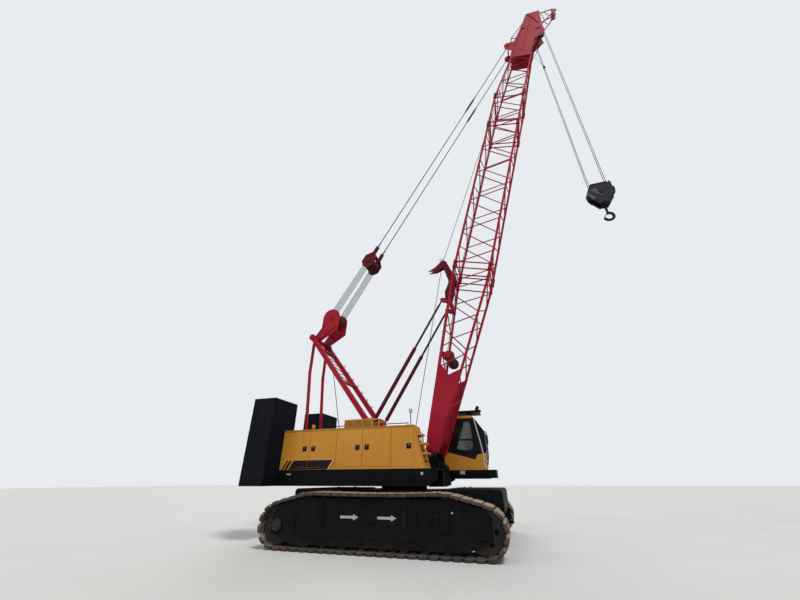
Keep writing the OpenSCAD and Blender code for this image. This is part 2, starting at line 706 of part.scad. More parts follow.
tray_top = deck_bottom + tray_h;

module counterweight_tray() color(black) {
    translate([weight_rear, -weight_half, deck_bottom]) cube([deck_rear - weight_rear, 2 * weight_half, tray_h]);
    translate([weight_rear + 80, -weight_inner + 60, tray_top - 1])
        cube([deck_rear - weight_rear - 80, 2 * weight_inner - 120, deck_top - tray_top + 1]);
}

stack_l = deck_rear - weight_rear - 10;
stack_w = weight_half - weight_inner;
seam = 12;

module counterweights() color("#23242a") both_sides() translate([weight_rear, weight_inner, tray_top]) difference() {
    cube([stack_l, stack_w, block_count * block_h]);
    // Seams that part the blocks
    for (i = [1 : block_count - 1]) translate([0, 0, i * block_h - seam / 2]) difference() {
        translate([-1, -1, 0]) cube([stack_l + 2, stack_w + 2, seam]);
        translate([seam, seam, -1]) cube([stack_l - 2 * seam, stack_w - 2 * seam, seam + 2]);
    }
    // Notches for the lifting slings
    for (i = [1 : block_count], y = [220, stack_w - 380])
        translate([-1, y, i * block_h - 80]) cube([50, 160, 81]);
}

strut_l = norm([strut_head_x - strut_foot_x, strut_head_z - strut_foot_z]);
strut_angle = atan2(strut_head_z - strut_foot_z, strut_head_x - strut_foot_x);
strut_eye_r = 95;
stop_eye_w = 70;
stop_pin_r = 35;
stop_ear_t = 28;
stop_beam_x = strut_foot_x + (stop_foot_z - strut_foot_z) / tan(strut_angle);
stop_ears = [stop_y - stop_eye_w / 2 - clear - stop_ear_t, stop_y + stop_eye_w / 2 + clear];

// Children in the strut's frame: x runs from its foot pin to its head
module on_strut() translate([strut_foot_x, 0, strut_foot_z]) rotate([0, -strut_angle, 0]) children();

module gantry_strut() color(red) {
    on_strut() {
        both_sides() {
            translate([0, strut_y - strut_w / 2, -strut_d / 2]) cube([strut_l, strut_w, strut_d]);
            cross_rod(0, 0, strut_y - strut_w / 2, strut_y + strut_w / 2, 115);
            cross_rod(strut_l, 0, strut_y - strut_w / 2, strut_y + strut_w / 2, 140);
        }
        for (u = [3830, 5700]) cross_rod(u, 0, -strut_y, strut_y, 60);
        cross_rod(strut_l, 0, -strut_y, strut_y, strut_eye_r);
        // Web of light tubes between the legs
        for (i = [0 : 5]) {
            side = i % 2 == 0 ? 1 : -1;
            rod([3950 + i * 280, side * strut_y, 0], [4230 + i * 280, -side * strut_y, 0], 34, 8);
        }
    }
    // Cross beam and ears that hold the backstops' feet
    translate([stop_beam_x - 70, -strut_y, stop_foot_z - 80]) cube([140, 2 * strut_y, 160]);
    both_sides() {
        for (y = stop_ears) {
            translate([stop_beam_x, y, stop_foot_z - 70]) cube([stop_foot_x - stop_beam_x, stop_ear_t, 140]);
            cross_rod(stop_foot_x, stop_foot_z, y, y + stop_ear_t, 70);
        }
        cross_rod(stop_foot_x, stop_foot_z, stop_ears[0], stop_ears[1] + stop_ear_t, stop_pin_r);
    }
}

stay_foot_x = -3800;
stay_kink = [-4060, 5800];
stay_d = 130;

module gantry_backstays() color(red) both_sides() difference() {
    union() {
        rod([stay_foot_x, stay_y, deck_top + 60], [stay_kink.x, stay_y, stay_kink.y], stay_d);
        translate([stay_kink.x, stay_y, stay_kink.y]) sphere(d = stay_d + 20);
        rod([stay_kink.x, stay_y, stay_kink.y], [strut_head_x, stay_y, strut_head_z], stay_d);
        translate([stay_foot_x - 130, stay_y - 60, deck_top]) cube([260, 120, 150]);
        cross_rod(strut_head_x, strut_head_z, stay_y - 55, stay_y + 55, 150);
    }
    cross_rod(strut_head_x, strut_head_z, stay_y - 80, stay_y + 80, strut_eye_r + run);
}

// Stations along the boom from its foot pin
joint_1 = base_l;
joint_2 = joint_1 + insert_l;
joint_3 = joint_2 + short_l;
tip_end = joint_3 + tip_l;
half_w = boom_w / 2;
half_d = boom_d / 2;
foot_half_d = 180;
foot_start = 150;
taper_end = base_l - 500;
head_half_w = 345;
head_back = 430;
head_front = -690;
head_plate_y = 375;
pendant_s = tip_end + 1200;
pendant_n = 800;
head_axle_s = tip_end + 2550;
head_axle_n = -840;
function boom_point(s, n) = [boom_foot_x + s * cos(boom_angle) - n * sin(boom_angle), 0,
    boom_foot_z + s * sin(boom_angle) + n * cos(boom_angle)];
pendant_end = boom_point(pendant_s, pendant_n);
head_axle = boom_point(head_axle_s, head_axle_n);
rope_angle = atan2(pendant_end.z - gantry_z, pendant_end.x - gantry_x);
falls_l = 3300;
falls_short = 1200;
gantry_plate_y = 375;
gantry_plate_t = 35;

// Children in the luffing falls' frame: x runs from the gantry sheaves' axle to the boom head
module on_falls() translate([gantry_x, 0, gantry_z]) rotate([0, -rope_angle, 0]) children();

module gantry_head() color(red) {
    both_sides() difference() {
        union() {
            side_plate([[gantry_x - 420, gantry_z], [gantry_x - 450, gantry_z - 480],
                [strut_head_x - 165, strut_head_z + 60], [strut_head_x - 150, strut_head_z - 60],
                [strut_head_x + 150, strut_head_z - 110], [gantry_x + 380, gantry_z - 640],
                [gantry_x + 420, gantry_z]], gantry_plate_y, gantry_plate_y + gantry_plate_t);
            cross_rod(gantry_x, gantry_z, gantry_plate_y, gantry_plate_y + gantry_plate_t, 420);
        }
        cross_rod(strut_head_x, strut_head_z, gantry_plate_y - 1, gantry_plate_y + gantry_plate_t + 1,
            strut_eye_r + run);
    }
    for (p = [[gantry_x - 330, gantry_z - 640], [gantry_x + 150, gantry_z - 620]])
        cross_rod(p[0], p[1], -gantry_plate_y - 5, gantry_plate_y + 5, 45);
}

// A grooved sheave about the Y axis, r to the rope's centre
module sheave(x, y, z, r, rope_d, w) translate([x, y, z]) rotate([90, 0, 0]) rotate_extrude($fn = 48)
    polygon([[0, -w / 2], [r + rope_d, -w / 2], [r + rope_d, -w / 2 + 8], [r - rope_d / 2 - run, -rope_d * 0.36],
        [r - rope_d / 2 - run, rope_d * 0.36], [r + rope_d, w / 2 - 8], [r + rope_d, w / 2], [0, w / 2]]);

// The gantry's sheaves and the bridle's lie in alternate planes
function luff_planes(n) = [for (i = [0 : n - 1]) (i - (n - 1) / 2) * luff_pitch];

module luff_row(x, z, n) {
    cross_rod(x, z, -gantry_plate_y, gantry_plate_y, 70);
    for (y = luff_planes(n)) sheave(x, y, z, luff_sheave_r, luff_rope_d, luff_pitch - 24);
}

module gantry_sheaves() color("#6e2226") luff_row(gantry_x, gantry_z, luff_sheaves);

module lower_luffing_falls() color("#3a3a3c") on_falls()
    for (y = luff_planes(luff_sheaves), z = [-luff_sheave_r, luff_sheave_r])
        rod([0, y, z], [falls_l - falls_short, y, z], luff_rope_d, 8);

module upper_luffing_falls() color("#3a3a3c") on_falls()
    for (y = luff_planes(luff_sheaves - 1), z = [-luff_sheave_r, luff_sheave_r])
        rod([falls_short, y, z], [falls_l, y, z], luff_rope_d, 8);

bridle_lug_y = 330;
bridle_reach = 860;
bridle_pin_r = 28;
pendant_eye_w = 68;
pendant_eye_r = 75;
pendant_pin_r = 40;
// Where a pendant's link sits, as a share of its length, and the link's steps as [length, diameter]
link_at = 0.66;
pendant_link = [[1300, 74], [900, 104]];

module bridle() color("#571c20") on_falls() translate([falls_l, 0, 0]) {
    luff_row(0, 0, luff_sheaves - 1);
    both_sides() {
        side_plate([[-330, -120], [-330, 120], [-120, 320], [260, 320], [520, 90], [520, -90], [260, -320],
            [-120, -320]], gantry_plate_y - 1, gantry_plate_y + 40);
        for (y = [bridle_lug_y - 60, bridle_lug_y + pendant_eye_w / 2 + 1])
            side_plate([[420, -80], [bridle_reach + 70, -70], [bridle_reach + 70, 70], [420, 80]], y, y + 25);
        cross_rod(bridle_reach, 0, bridle_lug_y - 60, bridle_lug_y + 60, bridle_pin_r);
    }
    translate([400, -gantry_plate_y - 20, -85]) cube([120, 2 * gantry_plate_y + 40, 170]);
}

module pendants() color("#3c3c3e") {
    l = norm([pendant_end.x - gantry_x, pendant_end.z - gantry_z]);
    near = falls_l + bridle_reach;
    on_falls() both_sides() {
        rod([near + 200, bridle_lug_y, 0], [l - 200, bridle_lug_y, 0], pendant_d);
        for (e = [[near, 1, bridle_pin_r], [l, -1, pendant_pin_r]]) difference() {
            union() {
                cross_rod(e[0], 0, bridle_lug_y - pendant_eye_w / 2, bridle_lug_y + pendant_eye_w / 2,
                    pendant_eye_r);
                rod([e[0] + e[1] * 20, bridle_lug_y, 0], [e[0] + e[1] * 260, bridle_lug_y, 0], 64);
            }
            cross_rod(e[0], 0, bridle_lug_y - 60, bridle_lug_y + 60, e[2] + run);
        }
        // Long links between the pendants' lengths
        translate([near + link_at * (l - near), bridle_lug_y, 0]) for (p = pendant_link)
            rod([-p[0] / 2, 0, 0], [p[0] / 2, 0, 0], p[1]);
    }
}

// Children in the boom's frame: x runs from the foot pin to the head, z to the back
module on_boom() translate([boom_foot_x, 0, boom_foot_z]) rotate([0, -boom_angle, 0]) children();

function mix(a, b, t) = a + (b - a) * t;
lace_in = 70;

// A point of the lattice between stations a and b, each [s, half width, back, front], at height t
function lattice_point(a, b, t, side, k) = [mix(a[0], b[0], t), side * mix(a[1], b[1], t), mix(a[k], b[k], t)];

// Zigzag across the back (k = 2) or the front (k = 3)
module face_lacing(a, b, panels, k) for (i = [0 : panels - 1]) {
    side = i % 2 == 0 ? 1 : -1;
    inset = lace_in / (b[0] - a[0]);
    rod(lattice_point(a, b, i / panels + inset, side, k),
        lattice_point(a, b, (i + 1) / panels - inset, -side, k), lace_d, 8);
}

// Zigzag up one side
module side_lacing(a, b, panels, side) for (i = [0 : panels - 1]) {
    k = i % 2 == 0 ? 2 : 3;
    inset = lace_in / (b[0] - a[0]);
    rod(lattice_point(a, b, i / panels + inset, side, k),
        lattice_point(a, b, (i + 1) / panels - inset, side, 5 - k), lace_d, 8);
}

module laced(a, b, panels) {
    for (side = [-1, 1], k = [2, 3]) rod(lattice_point(a, b, 0, side, k), lattice_point(a, b, 1, side, k), chord_d);
    for (k = [2, 3]) face_lacing(a, b, panels, k);
    for (side = [-1, 1]) side_lacing(a, b, panels, side);
}

// Square frame of tubes across the boom, stouter than the lacing that meets it
frame_d = lace_d + 9;

module cross_frame(s, w, back, front) {
    for (side = [-1, 1]) rod([s, side * w, back], [s, side * w, front], frame_d, 8);
    for (n = [back, front]) rod([s, -w, n], [s, w, n], frame_d, 8);
}

// Pin blocks at the ends of the chords, on one side of a joint between sections
module joint_lugs(s, dir) for (y = [-half_w, half_w], n = [-half_d, half_d]) {
    translate([dir > 0 ? s : s - 190, y - 62, n - 78]) cube([190, 124, 156]);
    cross_rod(s + dir * 95, n, y - 80, y + 80, 48);
}

module plain_section(s0, s1, panels) {
    laced([s0, half_w, half_d, -half_d], [s1, half_w, half_d, -half_d], panels);
    cross_frame(s0 + 150, half_w, half_d, -half_d);
    cross_frame(s1 - 150, half_w, half_d, -half_d);
    joint_lugs(s0, 1);
    joint_lugs(s1, -1);
}

function taper(s) = mix(foot_half_d, half_d, (s - foot_start) / (taper_end - foot_start));
stop_s = 5900;
stop_n = 980;
drum_s = 3560;
drum_n = 180;
guide_s = base_l - 420;
guide_beam_h = 60;

module boom_base() color(red) on_boom() {
    a = [foot_plate_l - 300, half_w, taper(foot_plate_l - 300), -taper(foot_plate_l - 300)];
    b = [taper_end, half_w, half_d, -half_d];
    for (side = [-1, 1], dir = [-1, 1]) {
        rod([foot_start, side * half_w, dir * foot_half_d],
            [taper_end - 20, side * half_w, dir * taper(taper_end - 20)], chord_d);
        rod([taper_end + 20, side * half_w, dir * half_d],
            [base_l - run / 2, side * half_w, dir * half_d], chord_d);
        translate([taper_end - 70, side * half_w - chord_d * 0.58, dir * half_d - chord_d * 0.6])
            cube([140, chord_d * 1.16, chord_d * 1.2]);
    }
    for (k = [2, 3]) {
        face_lacing([900, half_w, taper(900), -taper(900)], a, 3, k);
        face_lacing(a, b, 5, k);
    }
    for (side = [-1, 1]) side_lacing(a, b, 5, side);
    cross_frame(taper_end, half_w, half_d, -half_d);
    cross_frame(base_l - 150, half_w, half_d, -half_d);
    joint_lugs(base_l - run / 2, -1);
    both_sides() difference() {
        union() {
            side_plate([[0, -foot_boss_r], [foot_plate_l - 170, -taper(foot_plate_l) - 40],
                [foot_plate_l - 480, -30], [foot_plate_l, taper(foot_plate_l) + 60],
                [foot_start, foot_half_d + 45], [0, foot_boss_r]], foot_boss_out - boom_plate, foot_boss_out);
            cross_rod(0, 0, foot_boss_in, foot_boss_out, foot_boss_r);
            translate([0, foot_boss_in, -foot_boss_r + 20]) cube([420, 140, 2 * foot_boss_r - 40]);
        }
        cross_rod(0, 0, foot_boss_in - 10, foot_boss_out + 10, foot_pin_r + run);
    }
    translate([300, -foot_boss_in - 20, -90]) cube([260, 2 * foot_boss_in + 40, 180]);
    // Brackets of the drum in the foot section
    both_sides() side_plate([[drum_s - 110, drum_n - 60], [drum_s + 110, drum_n - 60],
        [drum_s + 110, taper(drum_s)], [drum_s - 110, taper(drum_s)]], 630, 670);
    // Beam and ears for the backstops' rod eyes
    translate([stop_s - 70, -half_w, taper(stop_s) - 60]) cube([140, boom_w, 120]);
    both_sides() for (y = stop_ears) difference() {
        union() {
            side_plate([[stop_s - 110, taper(stop_s)], [stop_s + 110, taper(stop_s)], [stop_s + 70, stop_n],
                [stop_s - 70, stop_n]], y, y + stop_ear_t);
            cross_rod(stop_s, stop_n, y, y + stop_ear_t, 72);
        }
        cross_rod(stop_s, stop_n, y - 1, y + stop_ear_t + 1, stop_pin_r);
    }
    // Beam under the rope guide
    translate([guide_s - 100, -half_w, half_d - 30]) cube([200, boom_w, 30 + guide_beam_h]);
}

module boom_insert() color(red) on_boom() plain_section(joint_1 + run / 2, joint_2 - run / 2, 10);

module boom_short_insert() color(red) on_boom() plain_section(joint_2 + run / 2, joint_3 - run / 2, 3);

// The tip's slanting chords start inside its pin blocks
tip_in = 12;
// Outlines of a head plate and a nose plate, s from the end of the tip's lattice
head_points = [[-150, -720], [1400, -740], [2250, -1220], [2850, -1020], [4550, -680], [4400, 120], [3000, 260],
    [1900, 420], [1520, 480], [1430, 980], [1200, 1060], [900, 960], [600, 520], [-150, 500]];

nose_points = [[4250, -1440], [4400, -1720], [4680, -1700], [4780, -1380]];

module boom_tip() color(red) on_boom() {
    laced([joint_3 + tip_in, half_w, half_d, -half_d], [tip_end, head_half_w, head_back, head_front], 6);
    joint_lugs(joint_3 + run / 2, 1);
    translate([tip_end, 0, 0]) {
        both_sides() side_plate(head_points, head_plate_y, head_plate_y + boom_plate);
        // Cross tubes between the head plates
        for (p = [[0, head_back, 38], [0, head_front, 38], [1400, 0, 50], [3400, -300, 50], [4350, -40, 50],
            [4350, -600, 50], [1200, pendant_n, pendant_pin_r], [2000, 240, 35], [3000, -960, 35]])
            cross_rod(p[0], p[1], -head_plate_y - 5, head_plate_y + 5, p[2]);
        // Strut on the head's back
        both_sides() {
            rod([2000, 300, 240], [2050, 300, 740], 50, 8);
            rod([2050, 300, 740], [4350, 300, -40], 44, 8);
        }
        cross_rod(2050, 740, -308, 308, 30);
        // Lattice nose that carries a small sheave
        both_sides() {
            rod([3000, 300, -960], [4380, 220, -1530], 60, 8);
            rod([4350, 300, -600], [4720, 220, -1430], 60, 8);
            rod([3450, 275, -1140], [4420, 290, -780], 40, 8);
            rod([3950, 245, -1350], [4500, 270, -960], 40, 8);
            side_plate(nose_points, 200, 230);
        }
    }
}

hoist_pitch = 156;

module boom_sheave(s, n, y, r) {
    p = boom_point(s, n);
    sheave(p.x, y, p.z, r, hoist_rope_d, 64);
}

module boom_axle(s, n, half, r) {
    p = boom_point(s, n);
    cross_rod(p.x, p.z, -half, half, r);
}

module head_sheaves() color("#6e2226") {
    boom_axle(head_axle_s, head_axle_n, head_plate_y, 60);
    for (y = [-hoist_pitch / 2, hoist_pitch / 2]) boom_sheave(head_axle_s, head_axle_n, y, head_sheave_r);
    // Sheave on top of the head
    boom_axle(tip_end + 2800, 80, head_plate_y, 50);
    boom_sheave(tip_end + 2800, 80, 0, 260);
    // Sheave at the end of the nose
    boom_axle(tip_end + 4500, -1560, 200, 35);
    boom_sheave(tip_end + 4500, -1560, 0, 150);
}

module boom_drum() color("#6e2226") {
    boom_axle(drum_s, drum_n, 630, 45);
    boom_axle(drum_s, drum_n, 560, 150);
    p = boom_point(drum_s, drum_n);
    for (y = [-560, 530]) cross_rod(p.x, p.z, y, y + 30, 220);
}

module rope_guide() color("#6b2024") on_boom() translate([guide_s, 0, half_d + guide_beam_h]) {
    both_sides() side_plate([[-100, 0], [100, 0], [360, 160], [900, 560], [940, 760], [800, 850], [540, 1000],
        [260, 1290], [350, 900], [560, 640], [260, 300]], 95, 120);
    for (p = [[800, 660], [300, 200]]) cross_rod(p[0], p[1], -120, 120, 70);
}

// Hook falls hang straight down from the head sheaves
module hook_falls() color("#3a3a3c") for (x = [-head_sheave_r, head_sheave_r], y = [-hoist_pitch / 2, hoist_pitch / 2])
    rod([head_axle.x + x, y, block_axle_z], [head_axle.x + x, y, head_axle.z], hoist_rope_d, 8);

crosshead_z = block_axle_z - cheek_h / 2 - 60;
shank_r = 48;
cheek_low = block_axle_z - cheek_h / 2;
cheek_high = block_axle_z + cheek_h / 2;

module hook_block() color("#20222e") translate([head_axle.x, 0, 0]) {
    both_sides() side_plate([[-cheek_w * 0.3, cheek_high], [-cheek_w / 2, block_axle_z + 90],
        [-cheek_w * 0.46, block_axle_z - 170], [-cheek_w * 0.16, cheek_low - 120],
        [cheek_w * 0.16, cheek_low - 120], [cheek_w * 0.46, block_axle_z - 170],
        [cheek_w / 2, block_axle_z + 90], [cheek_w * 0.3, cheek_high]], cheek_gap / 2, cheek_gap / 2 + cheek_t);
    cross_rod(0, block_axle_z, -cheek_gap / 2 - cheek_t - 30, cheek_gap / 2 + cheek_t + 30, 65);
    for (y = [-hoist_pitch / 2, hoist_pitch / 2])
        sheave(0, y, block_axle_z, head_sheave_r, hoist_rope_d, 64);
    difference() {
        translate([-110, -cheek_gap / 2 - 1, crosshead_z - 60]) cube([220, cheek_gap + 2, 150]);
        translate([0, 0, crosshead_z - 100]) cylinder(r = shank_r + run, h = 300);
    }
}

bowl_r = hook_bowl_r + hook_t / 2;
bowl_z = hook_bottom + hook_t / 2 + bowl_r;

module hook() color("#20222e") translate([head_axle.x, 0, 0]) {
    translate([0, 0, bowl_z + hook_bowl_r]) cylinder(r = shank_r, h = crosshead_z + 130 - bowl_z - hook_bowl_r);
    translate([0, 0, crosshead_z + 90 + run]) cylinder(r = 85, h = 60);
    translate([0, 0, crosshead_z - 160]) cylinder(r = 80, h = 100 - run);
    translate([0, 0, bowl_z]) rotate([90, 0, 0]) rotate([0, 0, 200]) rotate_extrude(angle = 250, $fn = 48)
        translate([bowl_r, 0]) circle(d = hook_t, $fn = 24);
}

// Backstops: a tube on the gantry strut and a rod to the boom
stop_end = boom_point(stop_s, stop_n);
stop_angle = atan2(stop_end.z - stop_foot_z, stop_end.x - stop_foot_x);
stop_l = norm([stop_end.x - stop_foot_x, stop_end.z - stop_foot_z]);
stop_neck_l = 260;
stop_rod_l = 4620;

module on_stop() translate([stop_foot_x, 0, stop_foot_z]) rotate([0, -stop_angle, 0]) children();

module backstop_tubes() color("#571c20") on_stop() both_sides() difference() {
    union() {
        cross_rod(0, 0, stop_y - stop_eye_w / 2, stop_y + stop_eye_w / 2, 72);
        rod([50, stop_y, 0], [200, stop_y, 0], stop_eye_w);
        rod([160, stop_y, 0], [stop_tube_l, stop_y, 0], stop_tube_d);
    }
    cross_rod(0, 0, stop_y - stop_eye_w, stop_y + stop_eye_w, stop_pin_r + run);
    rod([260, stop_y, 0], [stop_tube_l + 10, stop_y, 0], stop_rod_d + 2 * run);
}

module backstop_rods() color("#2e2b2d") on_stop() both_sides() difference() {
    union() {
        rod([stop_l - stop_neck_l - stop_rod_l, stop_y, 0], [stop_l - stop_neck_l, stop_y, 0], stop_rod_d);
        cross_rod(stop_l, 0, stop_y - stop_eye_w / 2, stop_y + stop_eye_w / 2, 66);
        rod([stop_l - stop_neck_l - 40, stop_y, 0], [stop_l - 50, stop_y, 0], stop_eye_w - 2);
    }
    cross_rod(stop_l, 0, stop_y - stop_eye_w, stop_y + stop_eye_w, stop_pin_r);
}

carbody();
carbody_weights();
track_frames();
right_track();
left_track();
sprockets();
idlers();
track_rollers();
swing_ring();
deck();
right_hood();
left_hood();
engine();
roof_fittings();
rails_and_guard();
cab_platform();
cab_shell();
cab_glass();
cab_seat();
winches();
counterweight_tray();
counterweights();
gantry_strut();
gantry_backstays();
gantry_head();
gantry_sheaves();
lower_luffing_falls();
backstop_tubes();
backstop_rods();
boom_base();
boom_insert();
boom_short_insert();
boom_tip();
head_sheaves();
boom_drum();
rope_guide();
pendants();
bridle();
upper_luffing_falls();
hook_falls();
hook_block();
hook();
hood_door_1();
hood_door_2();
hood_door_3();
hood_door_4();
hood_door_5();
left_door_1();
left_door_2();
cab_door();
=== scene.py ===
import json
import math
import bmesh
import bpy
from mathutils import Matrix, Vector

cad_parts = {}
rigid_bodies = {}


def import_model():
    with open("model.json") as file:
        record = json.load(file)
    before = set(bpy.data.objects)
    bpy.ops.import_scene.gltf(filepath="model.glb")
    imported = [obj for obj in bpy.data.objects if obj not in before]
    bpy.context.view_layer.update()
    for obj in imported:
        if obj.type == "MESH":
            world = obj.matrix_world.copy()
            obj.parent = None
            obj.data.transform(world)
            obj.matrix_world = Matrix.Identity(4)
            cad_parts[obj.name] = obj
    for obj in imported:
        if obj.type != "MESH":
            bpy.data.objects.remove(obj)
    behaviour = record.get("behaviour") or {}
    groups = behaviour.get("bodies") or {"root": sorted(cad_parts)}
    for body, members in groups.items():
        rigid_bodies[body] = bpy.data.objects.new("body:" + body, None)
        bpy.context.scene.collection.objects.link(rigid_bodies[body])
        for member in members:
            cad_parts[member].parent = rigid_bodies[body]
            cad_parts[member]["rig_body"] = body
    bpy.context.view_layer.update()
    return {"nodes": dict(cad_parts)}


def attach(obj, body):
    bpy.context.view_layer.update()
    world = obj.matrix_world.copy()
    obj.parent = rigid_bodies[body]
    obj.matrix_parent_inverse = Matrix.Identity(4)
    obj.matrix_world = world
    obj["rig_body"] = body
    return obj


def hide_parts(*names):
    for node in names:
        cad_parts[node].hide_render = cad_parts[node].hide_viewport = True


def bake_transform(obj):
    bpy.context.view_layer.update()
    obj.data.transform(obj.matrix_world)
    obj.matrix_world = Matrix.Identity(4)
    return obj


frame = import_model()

scene = bpy.context.scene
scene.view_settings.view_transform = "Standard"


def linked(name, data):
    # a new object, shown in the scene
    made = bpy.data.objects.new(name, data)
    scene.collection.objects.link(made)
    return made


# camera, floor and light

viewpoint = {"place": (3.9645, -12.932, 1.708), "yaw": -0.308, "pitch": 0.494, "roll": -0.002, "lens": 15.083}


def aimCamera(look):
    level = Vector((math.sin(look["yaw"]), math.cos(look["yaw"]), 0))
    side = Vector((level.y, -level.x, 0))
    ahead = math.cos(look["pitch"]) * level + math.sin(look["pitch"]) * Vector((0, 0, 1))
    top = math.cos(look["pitch"]) * Vector((0, 0, 1)) - math.sin(look["pitch"]) * level
    right = math.cos(look["roll"]) * side + math.sin(look["roll"]) * top
    up = math.cos(look["roll"]) * top - math.sin(look["roll"]) * side
    camera = linked("camera", bpy.data.cameras.new("camera"))
    turn = Matrix((right, up, -ahead)).transposed().to_4x4()
    camera.matrix_world = Matrix.Translation(look["place"]) @ turn
    camera.data.lens = look["lens"]
    camera.data.sensor_width = 36
    camera.data.clip_start, camera.data.clip_end = 0.1, 900
    scene.camera = camera


aimCamera(viewpoint)

studio = {
    "floorSize": 260, "floorColour": (196, 195, 191), "skyColour": (232, 236, 241), "skyStrength": 0.62,
    # direction the light comes from, strength, softness in degrees
    "lamps": {
        "key": ((0.42, -0.34, 0.84), 2.1, 14),
        "fill": ((-0.55, -0.78, 0.3), 0.75, 60),
        "rim": ((-0.35, 0.8, 0.48), 0.9, 40),
    },
}


def colour(rgb):
    # an 8-bit screen colour as the linear one that shaders take
    return tuple((c / 255 / 12.92 if c < 11 else ((c / 255 + 0.055) / 1.055) ** 2.4) for c in rgb) + (1.0,)


class Wire:
    # one value between shader nodes; sums on it add their Math nodes
    def __init__(self, finish, socket):
        self.finish, self.socket = finish, socket

    def maths(self, operation, *values):
        return self.finish.node("Math", {"operation": operation}, dict(enumerate(values)))

    def __add__(self, other):
        return self.maths("ADD", self, other)

    def __sub__(self, other):
        return self.maths("SUBTRACT", self, other)

    def __rsub__(self, other):
        return self.maths("SUBTRACT", other, self)

    def __mul__(self, other):
        return self.maths("MULTIPLY", self, other)

    def __pow__(self, other):
        return self.maths("POWER", self, other)

    __radd__, __rmul__ = __add__, __mul__

    def sine(self):
        return self.maths("SINE", self)

    def size(self):
        return self.maths("ABSOLUTE", self)

    def larger(self, other):
        return self.maths("MAXIMUM", self, other)

    def step(self, low, high):
        # 0 below low, 1 above high, smooth between
        return self.finish.node("MapRange", {"interpolation_type": "SMOOTHSTEP"},
            {"Value": self, "From Min": low, "From Max": high})


class Nodes:
    # adds nodes to a tree: the settings first, then the inputs, as values or links
    def __init__(self, tree):
        self.tree = tree

    def add(self, kind, settings=None, inputs=None):
        made = self.tree.nodes.new(kind)
        for key, value in (settings or {}).items():
            setattr(made, key, value)
        for key, value in (inputs or {}).items():
            self.feed(made.inputs[key], value)
        return made

    def feed(self, socket, value):
        source = value.socket if isinstance(value, Wire) else value
        if isinstance(source, bpy.types.NodeSocket):
            self.tree.links.new(source, socket)
        else:
            socket.default_value = source


class Finish(Nodes):
    # one material, built node by node
    def __init__(self, name):
        self.material = bpy.data.materials.new(name)
        self.material.use_nodes = True
        super().__init__(self.material.node_tree)
        self.shader = self.tree.nodes["Principled BSDF"]
        self.place = self.node("TexCoord", output="Object")

    def node(self, kind, settings=None, inputs=None, output=0):
        return Wire(self, self.add("ShaderNode" + kind, settings, inputs).outputs[output])

    def shade(self, **sockets):
        for key, value in sockets.items():
            self.feed(self.shader.inputs[key.replace("_", " ")], value)

    def stretched(self, scale):
        return self.node("Mapping", {}, {"Vector": self.place, "Scale": scale})

    def noise(self, scale, detail=3, place=None, rough=0.55):
        return self.node("TexNoise", {}, {"Vector": place or self.place, "Scale": scale, "Detail": detail,
            "Roughness": rough})

    def mix(self, factor, first, second):
        return self.node("Mix", {"data_type": "RGBA"}, {0: factor, 6: first, 7: second}, 2)

    def axes(self, vector=None):
        split = self.node("SeparateXYZ", {}, {"Vector": vector or self.place})
        return split, Wire(self, split.socket.node.outputs[1]), Wire(self, split.socket.node.outputs[2])

    def facing(self):
        # how far the surface looks upward, from -1 to 1
        return self.axes(self.node("TexCoord", output="Normal"))[2]

    def edges(self, radius):
        # 1 on outer and inner edges, 0 on flats
        soft = self.node("Bevel", {"samples": 4}, {"Radius": radius})
        flat = self.node("NewGeometry", output="Normal")
        same = self.node("VectorMath", {"operation": "DOT_PRODUCT"}, {0: soft, 1: flat}, "Value")
        return (1 - same).step(0.03, 0.22)

    def bump(self, height, strength, distance=0.01):
        return self.node("Bump", {}, {"Height": height, "Strength": strength, "Distance": distance})


def layStudio(look):
    world = bpy.data.worlds.new("studio")
    scene.world = world
    world.use_nodes = True
    nodes = Nodes(world.node_tree)
    nodes.tree.nodes.clear()
    # what lights the crane, and what the camera sees behind it
    lit, seen = (nodes.add("ShaderNodeBackground", {}, {"Color": colour(look["skyColour"]), "Strength": strength})
                 for strength in (look["skyStrength"], 1.0))
    ray = nodes.add("ShaderNodeLightPath")
    either = nodes.add("ShaderNodeMath", {"operation": "MAXIMUM"}, {0: ray.outputs["Is Camera Ray"],
        1: ray.outputs["Is Transmission Ray"]})
    choice = nodes.add("ShaderNodeMixShader", {}, {0: either.outputs[0], 1: lit.outputs[0], 2: seen.outputs[0]})
    nodes.add("ShaderNodeOutputWorld", {}, {0: choice.outputs[0]})
    for name, (source, strength, softness) in look["lamps"].items():
        lamp = bpy.data.lights.new(name, "SUN")
        lamp.energy, lamp.angle = strength, math.radians(softness)
        held = linked(name, lamp)
        held.rotation_mode = "QUATERNION"
        held.rotation_quaternion = Vector(source).to_track_quat("Z", "Y")
    half = look["floorSize"] / 2
    mesh = bpy.data.meshes.new("floor")
    mesh.from_pydata([(-half, -half, 0), (half, -half, 0), (half, half, 0), (-half, half, 0)], [], [(0, 1, 2, 3)])
    floor = linked("floor", mesh)
    concrete = Finish("floorGround")
    mottle = concrete.noise(0.35, 4) * 0.6 + concrete.noise(9, 3) * 0.4
    pale = colour(look["floorColour"])
    concrete.shade(Base_Color=concrete.mix(mottle.step(0.3, 0.7), tuple(c * 0.93 for c in pale[:3]) + (1,), pale),
        Roughness=0.9)
    mesh.materials.append(concrete.material)


layStudio(studio)
print("studio laid")

# finishes

